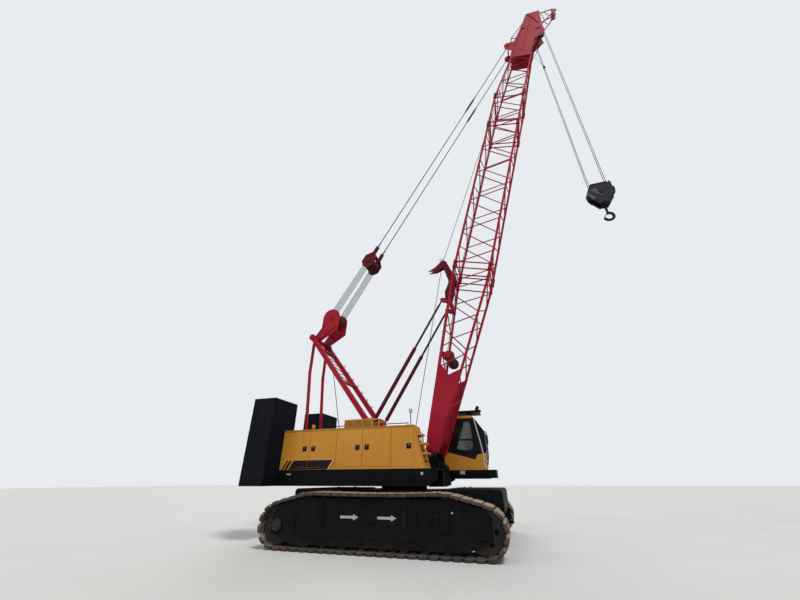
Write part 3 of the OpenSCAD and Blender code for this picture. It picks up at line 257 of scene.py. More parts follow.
paints = {
    # colour, its sun-faded tone, dirt, gloss, and how strong fade, dust, streaks and edge wear are
    "ochrePaint": {"colour": (184, 124, 38), "faded": (196, 142, 62), "dirt": (104, 82, 56), "rough": 0.42,
                   "fade": 0.5, "dust": 0.3, "streaks": 0.22, "wear": 0.3, "bare": (96, 70, 46)},
    "redPaint": {"colour": (144, 18, 38), "faded": (152, 36, 52), "dirt": (86, 44, 44), "rough": 0.5, "gloss": 0.09,
                 "fade": 0.5, "dust": 0.25, "streaks": 0.25, "wear": 0.45, "bare": (84, 50, 42)},
    "darkRedPaint": {"colour": (82, 16, 26), "faded": (94, 32, 40), "dirt": (58, 40, 38), "rough": 0.52, "gloss": 0.08,
                     "fade": 0.55, "dust": 0.3, "streaks": 0.3, "wear": 0.45, "bare": (66, 48, 42)},
    "winchPaint": {"colour": (104, 22, 28), "faded": (112, 44, 46), "dirt": (52, 40, 37), "rough": 0.5,
                   "fade": 0.5, "dust": 0.35, "streaks": 0.3, "wear": 0.6, "bare": (76, 60, 52)},
    "blackPaint": {"colour": (9, 10, 14), "faded": (16, 17, 21), "dirt": (40, 36, 33), "rough": 0.55, "gloss": 0.07,
                   "fade": 0.5, "dust": 0.3, "streaks": 0.18, "wear": 0.3, "bare": (58, 50, 46)},
    "weightPaint": {"colour": (10, 13, 22), "faded": (18, 22, 32), "dirt": (44, 42, 42), "rough": 0.6, "gloss": 0.07,
                    "fade": 0.6, "dust": 0.4, "streaks": 0.3, "wear": 0.45, "bare": (64, 58, 54)},
    "blockPaint": {"colour": (15, 19, 34), "faded": (26, 31, 48), "dirt": (50, 46, 46), "rough": 0.52, "gloss": 0.1,
                   "fade": 0.6, "dust": 0.4, "streaks": 0.3, "wear": 0.7, "bare": (74, 62, 56)},
    "enginePaint": {"colour": (70, 74, 78), "faded": (92, 94, 94), "dirt": (34, 30, 28), "rough": 0.5,
                    "fade": 0.5, "dust": 0.5, "streaks": 0.5, "wear": 0.3, "bare": (60, 52, 46)},
}


def paintCoat(name, look, soiledBelow=None):
    # machine paint: sun fade, dust on upward faces, rain streaks down the sides, worn edges, orange peel
    f = Finish(name)
    wear = f.edges(0.012) * (f.noise(7, 4).step(0.42, 0.62)) * look["wear"]
    fade = f.noise(0.55, 3).step(0.35, 0.72) * look["fade"]
    upward = f.facing()
    dust = upward.step(0.35, 0.95) * f.noise(3.1, 4).step(0.2, 0.75) * look["dust"]
    sides = 1 - upward.size().step(0.3, 0.8)
    runs = f.noise(1.0, 4, f.stretched((5.5, 5.5, 0.35)), 0.65).step(0.52, 0.78) * sides * look["streaks"]
    film = f.noise(26, 2).step(0.4, 0.8) * 0.12 * look["dust"]
    if soiledBelow:
        low, high, amount = soiledBelow
        height = f.axes()[2]
        film = film + (1 - height.step(low, high)) * f.noise(2.3, 4).step(0.25, 0.7) * amount
    specks = f.node("TexVoronoi", {"feature": "F1"}, {"Vector": f.place, "Scale": 5.5, "Randomness": 1.0}, "Distance")
    chips = (1 - specks.step(0.02, 0.07)) * f.noise(1.7, 2).step(0.5, 0.62) * look["wear"]
    skin = f.mix(fade, colour(look["colour"]), colour(look["faded"]))
    skin = f.mix((dust + runs + film).maths("MINIMUM", dust + runs + film, 0.85), skin, colour(look["dirt"]))
    bare = wear.larger(chips)
    skin = f.mix(bare, skin, colour(look["bare"]))
    rough = (f.noise(4.2, 3) * 0.16 + look["rough"] - 0.06) + (dust + film + bare) * 0.35
    peel = f.noise(95, 2) * 0.25 + f.noise(1.1, 2) - bare * 0.6
    f.shade(Base_Color=skin, Roughness=rough, Normal=f.bump(peel, 0.1, 0.003),
        Specular_IOR_Level=look.get("gloss", 0.2))
    return f.material


finishes = {name: paintCoat(name, look) for name, look in paints.items()}
finishes["frameBlack"] = paintCoat("frameBlack", dict(paints["blackPaint"], dust=0.5, dirt=(48, 42, 37)),
    (0.1, 0.6, 0.25))


def metal(name, base, stain, rust, rough, metallic, grain=22, rustShare=0.5):
    # bare steel that has been rolled on, greased or rained on
    f = Finish(name)
    patches = f.noise(2.6, 5).step(0.5 - rustShare * 0.3, 0.8 - rustShare * 0.3)
    fine = f.noise(grain, 4).step(0.3, 0.7)
    dust = f.facing().step(0.2, 0.95) * f.noise(5, 3).step(0.3, 0.7)
    skin = f.mix(fine, colour(base), colour(stain))
    skin = f.mix(patches * rustShare, skin, colour(rust))
    skin = f.mix(dust * 0.3, skin, colour((128, 108, 88)))
    f.shade(Base_Color=skin, Roughness=rough + fine * 0.15 + patches * 0.15,
            Metallic=(1 - patches * rustShare - dust * 0.4) * metallic,
            Normal=f.bump(f.noise(grain * 2, 3) + f.noise(6, 2), 0.25, 0.004))
    return f.material


finishes["wheelSteel"] = metal("wheelSteel", (13, 12, 12), (24, 21, 20), (36, 27, 23), 0.65, 0.1, 18, 0.35)
finishes["scuffedSteel"] = metal("scuffedSteel", (15, 15, 15), (34, 32, 30), (44, 38, 34), 0.65, 0.1, 12, 0.5)
finishes["ringSteel"] = metal("ringSteel", (70, 70, 68), (48, 44, 40), (78, 58, 44), 0.42, 0.6, 24, 0.35)
finishes["rodSteel"] = metal("rodSteel", (34, 32, 34), (24, 22, 24), (56, 38, 34), 0.5, 0.2, 30, 0.3)
finishes["brightSteel"] = metal("brightSteel", (186, 188, 190), (150, 152, 154), (120, 104, 92), 0.28, 0.9, 30, 0.12)
finishes["boltSteel"] = metal("boltSteel", (96, 94, 92), (66, 62, 58), (98, 68, 48), 0.42, 0.7, 60, 0.4)


def trackFinish():
    # shoe steel: rust brown in the hollows, tan dust on upward faces, rubbed bright on the ribs
    f = Finish("trackSteel")
    mottle = f.noise(3.4, 5).step(0.3, 0.7)
    grit = f.noise(34, 4).step(0.35, 0.7)
    upward = f.facing()
    dust = upward.step(0.1, 0.9) * (f.noise(4.5, 4).step(0.2, 0.62) * 0.75 + 0.15)
    rub = f.edges(0.01) * f.noise(12, 3).step(0.3, 0.6)
    skin = f.mix(mottle, colour((50, 39, 33)), colour((88, 68, 55)))
    skin = f.mix(grit * 0.45, skin, colour((34, 28, 25)))
    skin = f.mix(dust, skin, colour((172, 146, 120)))
    skin = f.mix(rub * 0.6, skin, colour((172, 160, 148)))
    # painted shade: the lower run, on the ground, is darkened towards the bottom as if it lay in shade
    skin = f.mix((1 - f.axes()[2].step(0.1, 0.42)) * 0.6, skin, colour((30, 29, 30)))
    f.shade(Base_Color=skin, Roughness=0.72 + grit * 0.15 - rub * 0.3, Metallic=rub * 0.5 + 0.08,
            Normal=f.bump(f.noise(48, 4) + f.noise(9, 3) * 1.5, 0.5, 0.006))
    return f.material


finishes["trackSteel"] = trackFinish()


def ropeFinish(name, base, grease, strands=6, lay=0.16):
    # laid wire rope: helical strands on the tube's own UV, u round it and v along it in metres
    f = Finish(name)
    around, along, _ = f.axes(f.node("UVMap", {"uv_map": "lay"}))
    turn = around * (2 * math.pi * strands) + along * (2 * math.pi * strands / lay / 6)
    strand = turn.sine().size()
    wires = ((around * (2 * math.pi * strands * 7)) - along * (2 * math.pi * 60)).sine() * 0.5 + 0.5
    oil = f.noise(2.2, 4).step(0.4, 0.7)
    # painted shade: the grooves between the strands are darkened towards 0.3 of the rope's colour
    skin = f.mix(strand ** 0.6, colour(tuple(c * 0.3 for c in base)), colour(base))
    skin = f.mix(oil * 0.7, skin, colour(grease))
    f.shade(Base_Color=skin, Metallic=0.2 - oil * 0.15, Roughness=0.55 + wires * 0.12,
            Normal=f.bump(strand + wires * 0.15, 0.9, 0.004))
    return f.material


finishes["ropeSteel"] = ropeFinish("ropeSteel", (42, 40, 40), (20, 19, 19))
finishes["pendantRope"] = ropeFinish("pendantRope", (44, 42, 43), (22, 21, 22), 6, 0.3)


def glassFinish():
    f = Finish("cabGlass")
    film = f.noise(3.2, 4).step(0.35, 0.8)
    f.shade(Base_Color=f.mix(film, colour((13, 21, 21)), colour((40, 52, 48))), Roughness=0.05 + film * 0.1,
            Alpha=0.66 + film * 0.15, Specular_IOR_Level=0.9)
    return f.material


finishes["cabGlass"] = glassFinish()


def plastic(name, tone, worn, rough=0.6, grain=140, gloss=0.45):
    # moulded plastic or rubber with a fine pebble
    f = Finish(name)
    age = f.noise(6, 3).step(0.35, 0.75)
    f.shade(Base_Color=f.mix(age * 0.6, colour(tone), colour(worn)), Roughness=rough + age * 0.12,
            Normal=f.bump(f.noise(grain, 2), 0.2, 0.002), Specular_IOR_Level=gloss)
    return f.material


finishes["seatVinyl"] = plastic("seatVinyl", (32, 33, 37), (58, 58, 60), 0.55)
finishes["rubber"] = plastic("rubber", (14, 14, 15), (34, 33, 32), 0.75, 140, 0.12)
finishes["greyPlate"] = plastic("greyPlate", (148, 150, 148), (176, 174, 168), 0.5, 60)
finishes["fadedStripe"] = plastic("fadedStripe", (92, 80, 88), (62, 56, 66), 0.6, 60, 0.15)
finishes["lampLens"] = plastic("lampLens", (226, 228, 226), (198, 196, 186), 0.12, 30)
finishes["amberLens"] = plastic("amberLens", (226, 112, 18), (238, 150, 60), 0.18, 30)

nodeLooks = {
    # finish and record slot: the nodes that take them, with their edge rounding in metres
    ("frameBlack", "black_paint"): {"carbody": 0.008, "carbody_weights": 0.02, "track_frames": 0.005},
    ("wheelSteel", "wheel_steel"): {"sprockets": 0.004, "idlers": 0.005, "track_rollers": 0.004},
    ("ringSteel", "ring_steel"): {"swing_ring": 0.004},
    ("blackPaint", "black_paint"): {
        "deck": 0.004, "rails_and_guard": 0, "cab_platform": 0.006, "counterweight_tray": 0.01},
    ("ochrePaint", "ochre_paint"): {
        "right_hood": 0.008, "left_hood": 0.008, "roof_fittings": 0.006, "cab_shell": 0.008, "cab_door": 0.005,
        "hood_door_1": 0.006, "hood_door_2": 0.006, "hood_door_3": 0.006, "hood_door_4": 0.006, "hood_door_5": 0.006,
        "left_door_1": 0.006, "left_door_2": 0.006},
    ("enginePaint", "engine_paint"): {"engine": 0.01},
    ("winchPaint", "winch_paint"): {
        "winches": 0.004, "gantry_sheaves": 0.002, "head_sheaves": 0.002, "boom_drum": 0.003},
    ("weightPaint", "weight_paint"): {"counterweights": 0.006},
    ("redPaint", "red_paint"): {
        "gantry_strut": 0.01, "gantry_backstays": 0.003, "gantry_head": 0.005, "boom_base": 0, "boom_insert": 0,
        "boom_short_insert": 0, "boom_tip": 0},
    ("darkRedPaint", "dark_red_paint"): {"backstop_tubes": 0.003, "rope_guide": 0.004, "bridle": 0.003},
    ("rodSteel", "rod_steel"): {"backstop_rods": 0.003},
    ("rodSteel", "rope_steel"): {"pendants": 0},
    ("blockPaint", "block_paint"): {"hook_block": 0.008, "hook": 0.006},
}
print("finishes ready")

# tools for shapes


def camelCase(node):
    first, *rest = node.split("_")
    return first + "".join(word.capitalize() for word in rest)


def plainMesh(piece):
    # the piece as its modifiers show it, in a mesh of its own with no modifier left
    seen = piece.evaluated_get(bpy.context.evaluated_depsgraph_get())
    mesh = bpy.data.meshes.new_from_object(seen)
    piece.modifiers.clear()
    piece.data = mesh
    return mesh


def smoothBy(mesh, degrees):
    mesh.shade_smooth()
    mesh.set_sharp_from_angle(angle=math.radians(degrees))


def evenNormals(piece):
    # large faces keep their own direction beside small rounded ones
    even = piece.modifiers.new("even", "WEIGHTED_NORMAL")
    even.mode, even.weight, even.keep_sharp = "FACE_AREA", 100, True
    plainMesh(piece)


def dress(node, finish, rounding):
    # a copy of a CAD node, merged, with rounded edges and smooth tubes
    mesh = frame["nodes"][node].data.copy()
    work = bmesh.new()
    work.from_mesh(mesh)
    bmesh.ops.remove_doubles(work, verts=work.verts, dist=0.00015)
    bmesh.ops.dissolve_limit(work, angle_limit=math.radians(0.6), verts=work.verts, edges=work.edges)
    work.to_mesh(mesh)
    work.free()
    mesh.materials.clear()
    mesh.materials.append(finishes[finish])
    piece = linked(camelCase(node) + "Dressed", mesh)
    if rounding:
        rounded = piece.modifiers.new("rounded", "BEVEL")
        rounded.width, rounded.segments = rounding, 2
        rounded.limit_method, rounded.angle_limit = "ANGLE", math.radians(50)
        rounded.use_clamp_overlap, rounded.miter_outer = True, "MITER_ARC"
        mesh = plainMesh(piece)
    smoothBy(mesh, 42)
    evenNormals(piece)
    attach(piece, frame["nodes"][node]["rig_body"])
    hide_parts(node)


for (finish, slot), nodes in nodeLooks.items():
    for node, rounding in nodes.items():
        dress(node, finish, rounding)
glass = frame["nodes"]["cab_glass"]
glass.data.materials.clear()
glass.data.materials.append(finishes["cabGlass"])
for node, finish in (("cab_seat", "seatVinyl"), ("lower_luffing_falls", "rodSteel"),
        ("upper_luffing_falls", "rodSteel"), ("hook_falls", "rodSteel")):
    frame["nodes"][node].data.materials.clear()
    frame["nodes"][node].data.materials.append(finishes[finish])
print("CAD nodes dressed")


class Form:
    # shapes gathered into one mesh; coat is the number of the finish that new faces take
    def __init__(self):
        self.work = bmesh.new()
        self.lay = self.work.loops.layers.uv.new("lay")
        self.coat = 0

    def settle(self, points, rounding=0, turn=None):
        # colours, turns and rounds the shape that these points make
        if turn:
            bmesh.ops.transform(self.work, matrix=turn, verts=points)
        faces = {face for point in points for face in point.link_faces}
        for face in faces:
            face.material_index = self.coat
        bmesh.ops.recalc_face_normals(self.work, faces=list(faces))
        if rounding:
            lines = {edge for point in points for edge in point.link_edges if len(edge.link_faces) == 2
                and edge.calc_face_angle(0) > 0.6}
            bmesh.ops.bevel(self.work, geom=list(lines), offset=rounding, segments=2, profile=0.5, affect="EDGES",
                clamp_overlap=True)

    def block(self, low, high, rounding=0.0, turn=None):
        low, high = Vector(low), Vector(high)
        size = Matrix.Diagonal((*(high - low), 1))
        made = bmesh.ops.create_cube(self.work, size=1, matrix=Matrix.Translation((low + high) / 2) @ size)
        self.settle(made["verts"], rounding, turn)

    def rings(self, outlines, across):
        # a ring of points for each outline and its height
        spot = {"y": lambda a, b, h: (a, h, b), "z": lambda a, b, h: (a, b, h), "x": lambda a, b, h: (h, a, b)}[across]
        return [[self.work.verts.new(spot(a, b, h)) for a, b in outline] for outline, h in outlines]

    def prism(self, outline, low, high, across="y", rounding=0.0):
        # an outline pushed along one axis, from low to high
        rings = self.rings(((outline, low), (outline, high)), across)
        self.skin(rings, True)
        self.settle(sum(rings, []), rounding)

    def skin(self, rings, capped=False, closed=False, lengths=None):
        # faces between rings of points, with the lay of a rope or hose on them
        count = len(rings[0])
        pairs = list(zip(rings, rings[1:] + rings[:1])) if closed else list(zip(rings, rings[1:]))
        for k, (one, two) in enumerate(pairs):
            for i in range(count):
                j = (i + 1) % count
                face = self.work.faces.new((one[i], one[j], two[j], two[i]))
                if lengths:
                    spots = ((i, k), (i + 1, k), (i + 1, k + 1), (i, k + 1))
                    for loop, (a, b) in zip(face.loops, spots):
                        loop[self.lay].uv = (a / count, lengths[b])
        if capped:
            self.work.faces.new(rings[0][::-1])
            self.work.faces.new(rings[-1])

    def pipe(self, path, radius, sides=10):
        # a round bar, rope or hose along a path; radius is one number or one for each point
        path = [Vector(p) for p in path]
        radii = radius if isinstance(radius, (list, tuple)) else [radius] * len(path)
        ways = [(b - a).normalized() for a, b in zip(path, path[1:])]
        ways = [ways[0]] + [(a + b).normalized() for a, b in zip(ways, ways[1:])] + [ways[-1]]
        side = ways[0].orthogonal().normalized()
        rings, lengths, run = [], [], 0.0
        for i, (point, way) in enumerate(zip(path, ways)):
            if i:
                side = (ways[i - 1].rotation_difference(way) @ side).normalized()
                run += (point - path[i - 1]).length
            lengths.append(run)
            other = way.cross(side)
            rings.append([self.work.verts.new(point + radii[i] * (math.cos(a) * side + math.sin(a) * other))
                for a in (2 * math.pi * k / sides for k in range(sides))])
        self.skin(rings, True, lengths=lengths)
        self.settle(sum(rings, []))

    def turned(self, profile, place, axis="z", sides=24):
        # a turned part: profile of (radius, height) pairs about an axis through place
        place = Vector(place)
        spot = {"z": lambda r, a, h: Vector((r * math.cos(a), r * math.sin(a), h)),
                "y": lambda r, a, h: Vector((r * math.cos(a), h, r * math.sin(a))),
                "x": lambda r, a, h: Vector((h, r * math.cos(a), r * math.sin(a)))}[axis]
        rings = [[self.work.verts.new(place + spot(r, 2 * math.pi * k / sides, h)) for k in range(sides)]
                 for r, h in profile]
        self.skin(rings, True)
        self.settle(sum(rings, []))

    def band(self, outer, inner, low, high, across="y", rounding=0.0):
        # a flat frame between two outlines with as many corners
        rings = self.rings(((outer, low), (outer, high), (inner, high), (inner, low)), across)
        self.skin(rings, closed=True)
        self.settle(sum(rings, []), rounding)

    def window(self, a0, b0, a1, b1, rim, low, high, across="y", rounding=0.002):
        # a frame round a rectangle, with bars as wide as rim
        outer, inner = ([(a0 + m, b0 + m), (a1 - m, b0 + m), (a1 - m, b1 - m), (a0 + m, b1 - m)] for m in (0, rim))
        self.band(outer, inner, low, high, across, rounding)

    def ball(self, place, radius, sides=14):
        made = bmesh.ops.create_uvsphere(self.work, u_segments=sides, v_segments=sides // 2, radius=radius,
            matrix=Matrix.Translation(place))
        self.settle(made["verts"])

    def mesh(self, name, coats, smooth=35):
        mesh = bpy.data.meshes.new(name)
        self.work.to_mesh(mesh)
        self.work.free()
        for coat in coats:
            mesh.materials.append(finishes[coat])
        smoothBy(mesh, smooth)
        return mesh

    def close(self, name, coats, body, slot, smooth=35, stands=()):
        piece = linked(name, self.mesh(name, coats, smooth))
        evenNormals(piece)
        return mount(piece, body, stands)


def mount(piece, body, stands=()):
    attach(piece, body)
    if stands:
        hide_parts(*stands)
    return piece


def bent(path, radius, steps=5):
    # the path with its corners rounded
    path = [Vector(p) for p in path]
    out = [path[0]]
    for before, corner, after in zip(path, path[1:], path[2:]):
        a, b = (before - corner), (after - corner)
        cut = min(radius, a.length * 0.48, b.length * 0.48)
        start, end = corner + a.normalized() * cut, corner + b.normalized() * cut
        for k in range(steps + 1):
            t = k / steps
            out.append(start * (1 - t) ** 2 + corner * 2 * t * (1 - t) + end * t ** 2)
    return out + [path[-1]]


class Recipe(Nodes):
    # a Geometry Nodes tree with named inputs
    kinds = {"part": "NodeSocketObject", "finish": "NodeSocketMaterial", "size": "NodeSocketFloat",
        "count": "NodeSocketInt", "shape": "NodeSocketGeometry"}

    def __init__(self, name, inputs):
        super().__init__(bpy.data.node_groups.new(name, "GeometryNodeTree"))
        self.sockets = {}
        for label, kind in {"Geometry": "shape", **inputs}.items():
            made = self.tree.interface.new_socket(label, in_out="INPUT", socket_type=self.kinds[kind])
            self.sockets[label] = made.identifier
        self.tree.interface.new_socket("Geometry", in_out="OUTPUT", socket_type="NodeSocketGeometry")
        source = self.tree.nodes.new("NodeGroupInput")
        self.given = {label: source.outputs[label] for label in self.sockets}

    def node(self, kind, settings=None, inputs=None, output=0):
        return self.add(kind, settings, inputs).outputs[output]

    def finish(self, shape):
        real = self.node("GeometryNodeRealizeInstances", {}, {"Geometry": shape})
        coated = self.node("GeometryNodeSetMaterial", {}, {"Geometry": real, "Material": self.given["Finish"]})
        self.tree.links.new(coated, self.tree.nodes.new("NodeGroupOutput").inputs[0])

    def cook(self, name, mesh, values, body, slot, smooth=35, stands=()):
        # runs the tree on a mesh and leaves a plain piece
        piece = linked(name, mesh)
        step = piece.modifiers.new("recipe", "NODES")
        step.node_group = self.tree
        for label, value in values.items():
            step[self.sockets[label]] = value
        made = plainMesh(piece)
        smoothBy(made, smooth)
        return mount(piece, body, stands)


def copiesRecipe():
    # a copy of the part on every point, its x along the point's "along" and its z along "up"
    r = Recipe("copiesOnPoints", {"Part": "part", "Finish": "finish", "Uneven": "size", "Seed": "count"})
    part = r.node("GeometryNodeObjectInfo", {"transform_space": "ORIGINAL"}, {"Object": r.given["Part"]}, "Geometry")
    along = r.node("GeometryNodeInputNamedAttribute", {"data_type": "FLOAT_VECTOR"}, {"Name": "along"})
    up = r.node("GeometryNodeInputNamedAttribute", {"data_type": "FLOAT_VECTOR"}, {"Name": "up"})
    turn = r.node("FunctionNodeAxesToRotation", {"primary_axis": "Z", "secondary_axis": "X"}, {0: up, 1: along})
    low = r.node("ShaderNodeMath", {"operation": "SUBTRACT"}, {0: 1.0, 1: r.given["Uneven"]})
    scale = r.node("FunctionNodeRandomValue", {"data_type": "FLOAT"}, {2: low, 3: 1.0, "Seed": r.given["Seed"]}, 1)
    points = r.node("GeometryNodeMeshToPoints", {}, {"Mesh": r.given["Geometry"]})
    r.finish(r.node("GeometryNodeInstanceOnPoints", {}, {"Points": points, "Instance": part, "Rotation": turn,
        "Scale": scale}))
    return r


def rowRecipe():
    # equal copies of the part in a straight row from each point, one step apart
    r = Recipe("copiesInRow", {"Part": "part", "Finish": "finish", "Count": "count", "StepX": "size", "StepY": "size",
        "StepZ": "size"})
    part = r.node("GeometryNodeObjectInfo", {"transform_space": "ORIGINAL"}, {"Object": r.given["Part"]}, "Geometry")
    gap = r.node("ShaderNodeCombineXYZ", {}, {0: r.given["StepX"], 1: r.given["StepY"], 2: r.given["StepZ"]})
    line = r.node("GeometryNodeMeshLine", {"mode": "OFFSET"}, {"Count": r.given["Count"], "Offset": gap})
    row = r.node("GeometryNodeInstanceOnPoints", {}, {"Points": line, "Instance": part})
    r.finish(r.node("GeometryNodeInstanceOnPoints", {}, {
        "Points": r.node("GeometryNodeMeshToPoints", {}, {"Mesh": r.given["Geometry"]}), "Instance": row}))
    return r


def windingRecipe():
    # rope wound on a drum about y, as a helix from the mesh's first point
    r = Recipe("ropeWinding", {"Finish": "finish", "Turns": "size", "Drum": "size", "Length": "size", "Rope": "size"})
    helix = r.node("GeometryNodeCurveSpiral", {}, {
        "Resolution": 20, "Rotations": r.given["Turns"], "Start Radius": r.given["Drum"],
        "End Radius": r.given["Drum"], "Height": r.given["Length"]})
    ring = r.node("GeometryNodeCurvePrimitiveCircle", {"mode": "RADIUS"}, {"Resolution": 7, "Radius": r.given["Rope"]})
    coil = r.node("GeometryNodeCurveToMesh", {}, {"Curve": helix, "Profile Curve": ring, "Fill Caps": True})
    lying = r.node("GeometryNodeTransform", {}, {"Geometry": coil, "Rotation": (math.pi / 2, 0, 0)})
    r.finish(r.node("GeometryNodeInstanceOnPoints", {}, {
        "Points": r.node("GeometryNodeMeshToPoints", {}, {"Mesh": r.given["Geometry"]}), "Instance": lying}))
    return r


copies, rows, windings = copiesRecipe(), rowRecipe(), windingRecipe()


def pointMesh(name, spots):
    # spots are (place, along, up)
    mesh = bpy.data.meshes.new(name)
    mesh.from_pydata([spot[0] for spot in spots], [], [])
    for label, k in (("along", 1), ("up", 2)):
        held = mesh.attributes.new(label, "FLOAT_VECTOR", "POINT")
        held.data.foreach_set("vector", [c for spot in spots for c in spot[k]])
    return mesh


def pattern(form, name, smooth=35):
    # a part that a recipe repeats, itself outside the scene
    return bpy.data.objects.new(name, form.mesh(name, ["boltSteel"], smooth))


def strew(name, spots, part, finish, body, slot, uneven=0.05, smooth=35, stands=()):
    return copies.cook(name, pointMesh(name, spots), {"Part": part, "Finish": finishes[finish], "Uneven": uneven,
        "Seed": 7}, body, slot, smooth, stands)


def hexBolt(radius, height):
    form = Form()
    form.turned([(radius * 1.5, 0), (radius * 1.5, height * 0.2), (radius * 1.0, height * 0.2),
        (radius, height * 0.9), (radius * 0.85, height)], (0, 0, 0), "z", 6)
    return pattern(form, "bolt%d" % round(radius * 10000), smooth=20)


print("tools ready")

# tracks

track = {
    "gauge": 5.31, "wheelBase": 5.86, "outer": 0.6, "top": 1.44, "carrier": 2.0, "sag": 0.035, "shoes": 54,
    "shoeHeight": 0.06, "width": 0.9, "gap": 0.034, "link": 0.04, "lug": 0.07,
}


def trackPins(t):
    # the pins of one track, in the same places as the CAD's
    line, top, wheel = t["outer"] - t["shoeHeight"], t["top"] - t["shoeHeight"], t["wheelBase"] / 2
    rise = top - t["outer"]
    end = math.atan2(rise, t["carrier"] - wheel) - math.acos(line / math.hypot(rise, t["carrier"] - wheel))
    front = [(wheel + line * math.cos(a), t["outer"] + line * math.sin(a))
        for a in (-math.pi / 2 + i * (end + math.pi / 2) / 60 for i in range(61))]
    run = [(k * t["carrier"], top - t["sag"] * (1 - k * k)) for k in (1 - i / 5 for i in range(11))]
    loop = front + run + [(-x, z) for x, z in front[::-1]] + front[:1]
    steps = [math.dist(a, b) for a, b in zip(loop, loop[1:])]
    pitch = sum(steps) / t["shoes"]
    pins, k, past = [], 0, 0.0
    for i in range(t["shoes"]):
        while past + steps[k] < i * pitch:
            past, k = past + steps[k], k + 1
        share = (i * pitch - past) / steps[k]
        pins.append(tuple(a + (b - a) * share for a, b in zip(loop[k], loop[k + 1])))
    return pins, pitch


def trackShoe(t, pitch):
    # one shoe: pad with a rib and cut corners, two link bars with pin bosses, and the drive lug
    form = Form()
    a, b, h, half = t["gap"] / 2, pitch - t["gap"] / 2, t["shoeHeight"], t["width"] / 2
    corner = 0.06
    plan = [(a, -half + corner), (a + corner, -half), (b - corner, -half), (b, -half + corner),
            (b, half - corner), (b - corner, half), (a + corner, half), (a, half - corner)]
    form.prism(plan, -0.012, h - 0.008, "z", 0.005)
    form.prism([(a + 0.012, -0.012), (a + 0.03, -t["link"]), (b - 0.03, -t["link"]), (b - 0.012, -0.012)], -0.3, 0.3,
        "y", 0.004)
    form.prism([(a + 0.05, h - 0.012), (a + 0.06, h), (a + 0.09, h), (a + 0.1, h - 0.012)], -half + 0.03, half - 0.03)
    form.prism([(b - 0.075, h - 0.012), (b - 0.068, h - 0.002), (b - 0.045, h - 0.002), (b - 0.038, h - 0.012)],
        -half + 0.03, half - 0.03)
    for side in (-1, 1):
        for y in (0.2, 0.405):
            form.block((a + 0.02, side * y - 0.02, -0.03), (b - 0.02, side * y + 0.02, 0.0), 0.004)
        form.turned([(0.021, 0.0), (0.024, 0.006), (0.024, 0.112), (0.021, 0.118)], (0, side * 0.3 - 0.059, -0.008),
            "y", 8)
    m, lug = pitch / 2, t["lug"]
    form.prism([(m - lug / 2, -t["link"] + 0.002), (m - lug / 4, -t["link"] - lug), (m + lug / 4, -t["link"] - lug),
        (m + lug / 2, -t["link"] + 0.002)], -0.075, 0.075, "y", 0.008)
    return pattern(form, "shoePattern")


def layTrack(name, y, t, stands):
    pins, pitch = trackPins(t)
    shoe = trackShoe(t, pitch)
    spots = []
    for (x, z), (nextX, nextZ) in zip(pins, pins[1:] + pins[:1]):
        length = math.hypot(nextX - x, nextZ - z)
        way = ((nextX - x) / length, 0, (nextZ - z) / length)
        spots.append(((x, y, z), way, (way[2], 0, -way[0])))
    strew(name, spots, shoe, "trackSteel", "undercarriage", "track_steel", 0.0, 30, stands)


layTrack("rightShoes", -track["gauge"] / 2, track, ["right_track"])
layTrack("leftShoes", track["gauge"] / 2, track, ["left_track"])
print("tracks laid")

# hoods and their doors

for name, tone, worn in (("blackFilm", (14, 13, 13), (34, 31, 28)), ("whiteFilm", (206, 208, 206), (160, 156, 148)),
        ("redFilm", (150, 26, 30), (112, 52, 48)), ("blackMoulding", (8, 10, 13), (20, 21, 24)),
        ("foam", (30, 30, 32), (60, 58, 56))):
    finishes[name] = plastic(name, tone, worn, 0.5, 60, 0.12)

hood = {
    "rear": -4.12, "foot": 1.18, "roof": 0.84, "leftFront": 0.35, "side": 1.607, "low": 2.04, "top": 3.337,
    "doorLow": 2.11, "doorTop": 3.27, "gap": 0.007, "latchIn": 0.17, "latchHigh": 2.7,
    # name: rear edge, front edge, hinge side (-1 at the rear), side of the crane
    "doors": {"hood_door_1": (-4.1, -3.02, -1, -1), "hood_door_2": (-3.02, -1.962, 1, -1),
              "hood_door_3": (-1.962, -0.991, -1, -1), "hood_door_4": (-0.991, 0.039, 1, -1),
              "hood_door_5": (0.039, 0.821, -1, -1), "left_door_1": (-3.02, -1.962, -1, 1),
              "left_door_2": (-1.962, -0.991, 1, 1)},
    # slanting stripes at the rear foot: rear edge, front edge, coat; they lean forward and end at these heights
    "stripes": [(-4.04, -3.97, 0), (-3.92, -3.82, 0), (-3.76, -2.24, 0), (-2.22, -2.195, 1), (-2.17, -2.13, 2)],
    "stripeLow": 2.046, "stripeTop": 2.33, "stripeLean": 0.18,
}


def frontX(z):
    # the right hood's sloping front at this height
    return hood["foot"] - (hood["foot"] - hood["roof"]) * (z - hood["low"]) / (hood["top"] - hood["low"])


def clipped(outline, low, high):
    # the part of an outline whose first coordinate lies between low and high
    for limit, sign in ((low, 1), (high, -1)):
        kept = []
        for (a, b), (c, d) in zip(outline, outline[1:] + outline[:1]):
            if (a - limit) * sign >= 0:
                kept.append((a, b))
            if (a - limit) * (c - limit) < 0:
                kept.append((limit, b + (d - b) * (limit - a) / (c - a)))
        outline = kept
    return outline


def layStripes(form, low, high, x0, x1):
    # what of the stripes lies in this part of the hood's side
    foot, tall = hood["stripeLow"], hood["stripeTop"] - hood["stripeLow"]
    lean = [hood["stripeLean"] * (z - foot) / tall for z in (low, high)]
    for rear, front, coat in hood["stripes"]:
        part = clipped([(rear + lean[0], low), (front + lean[0], low), (front + lean[1], high),
            (rear + lean[1], high)], x0, x1)
        if len(part) > 2:
            form.coat = coat
            form.prism(part, -hood["side"] - 0.0015, -hood["side"] + 0.0002)


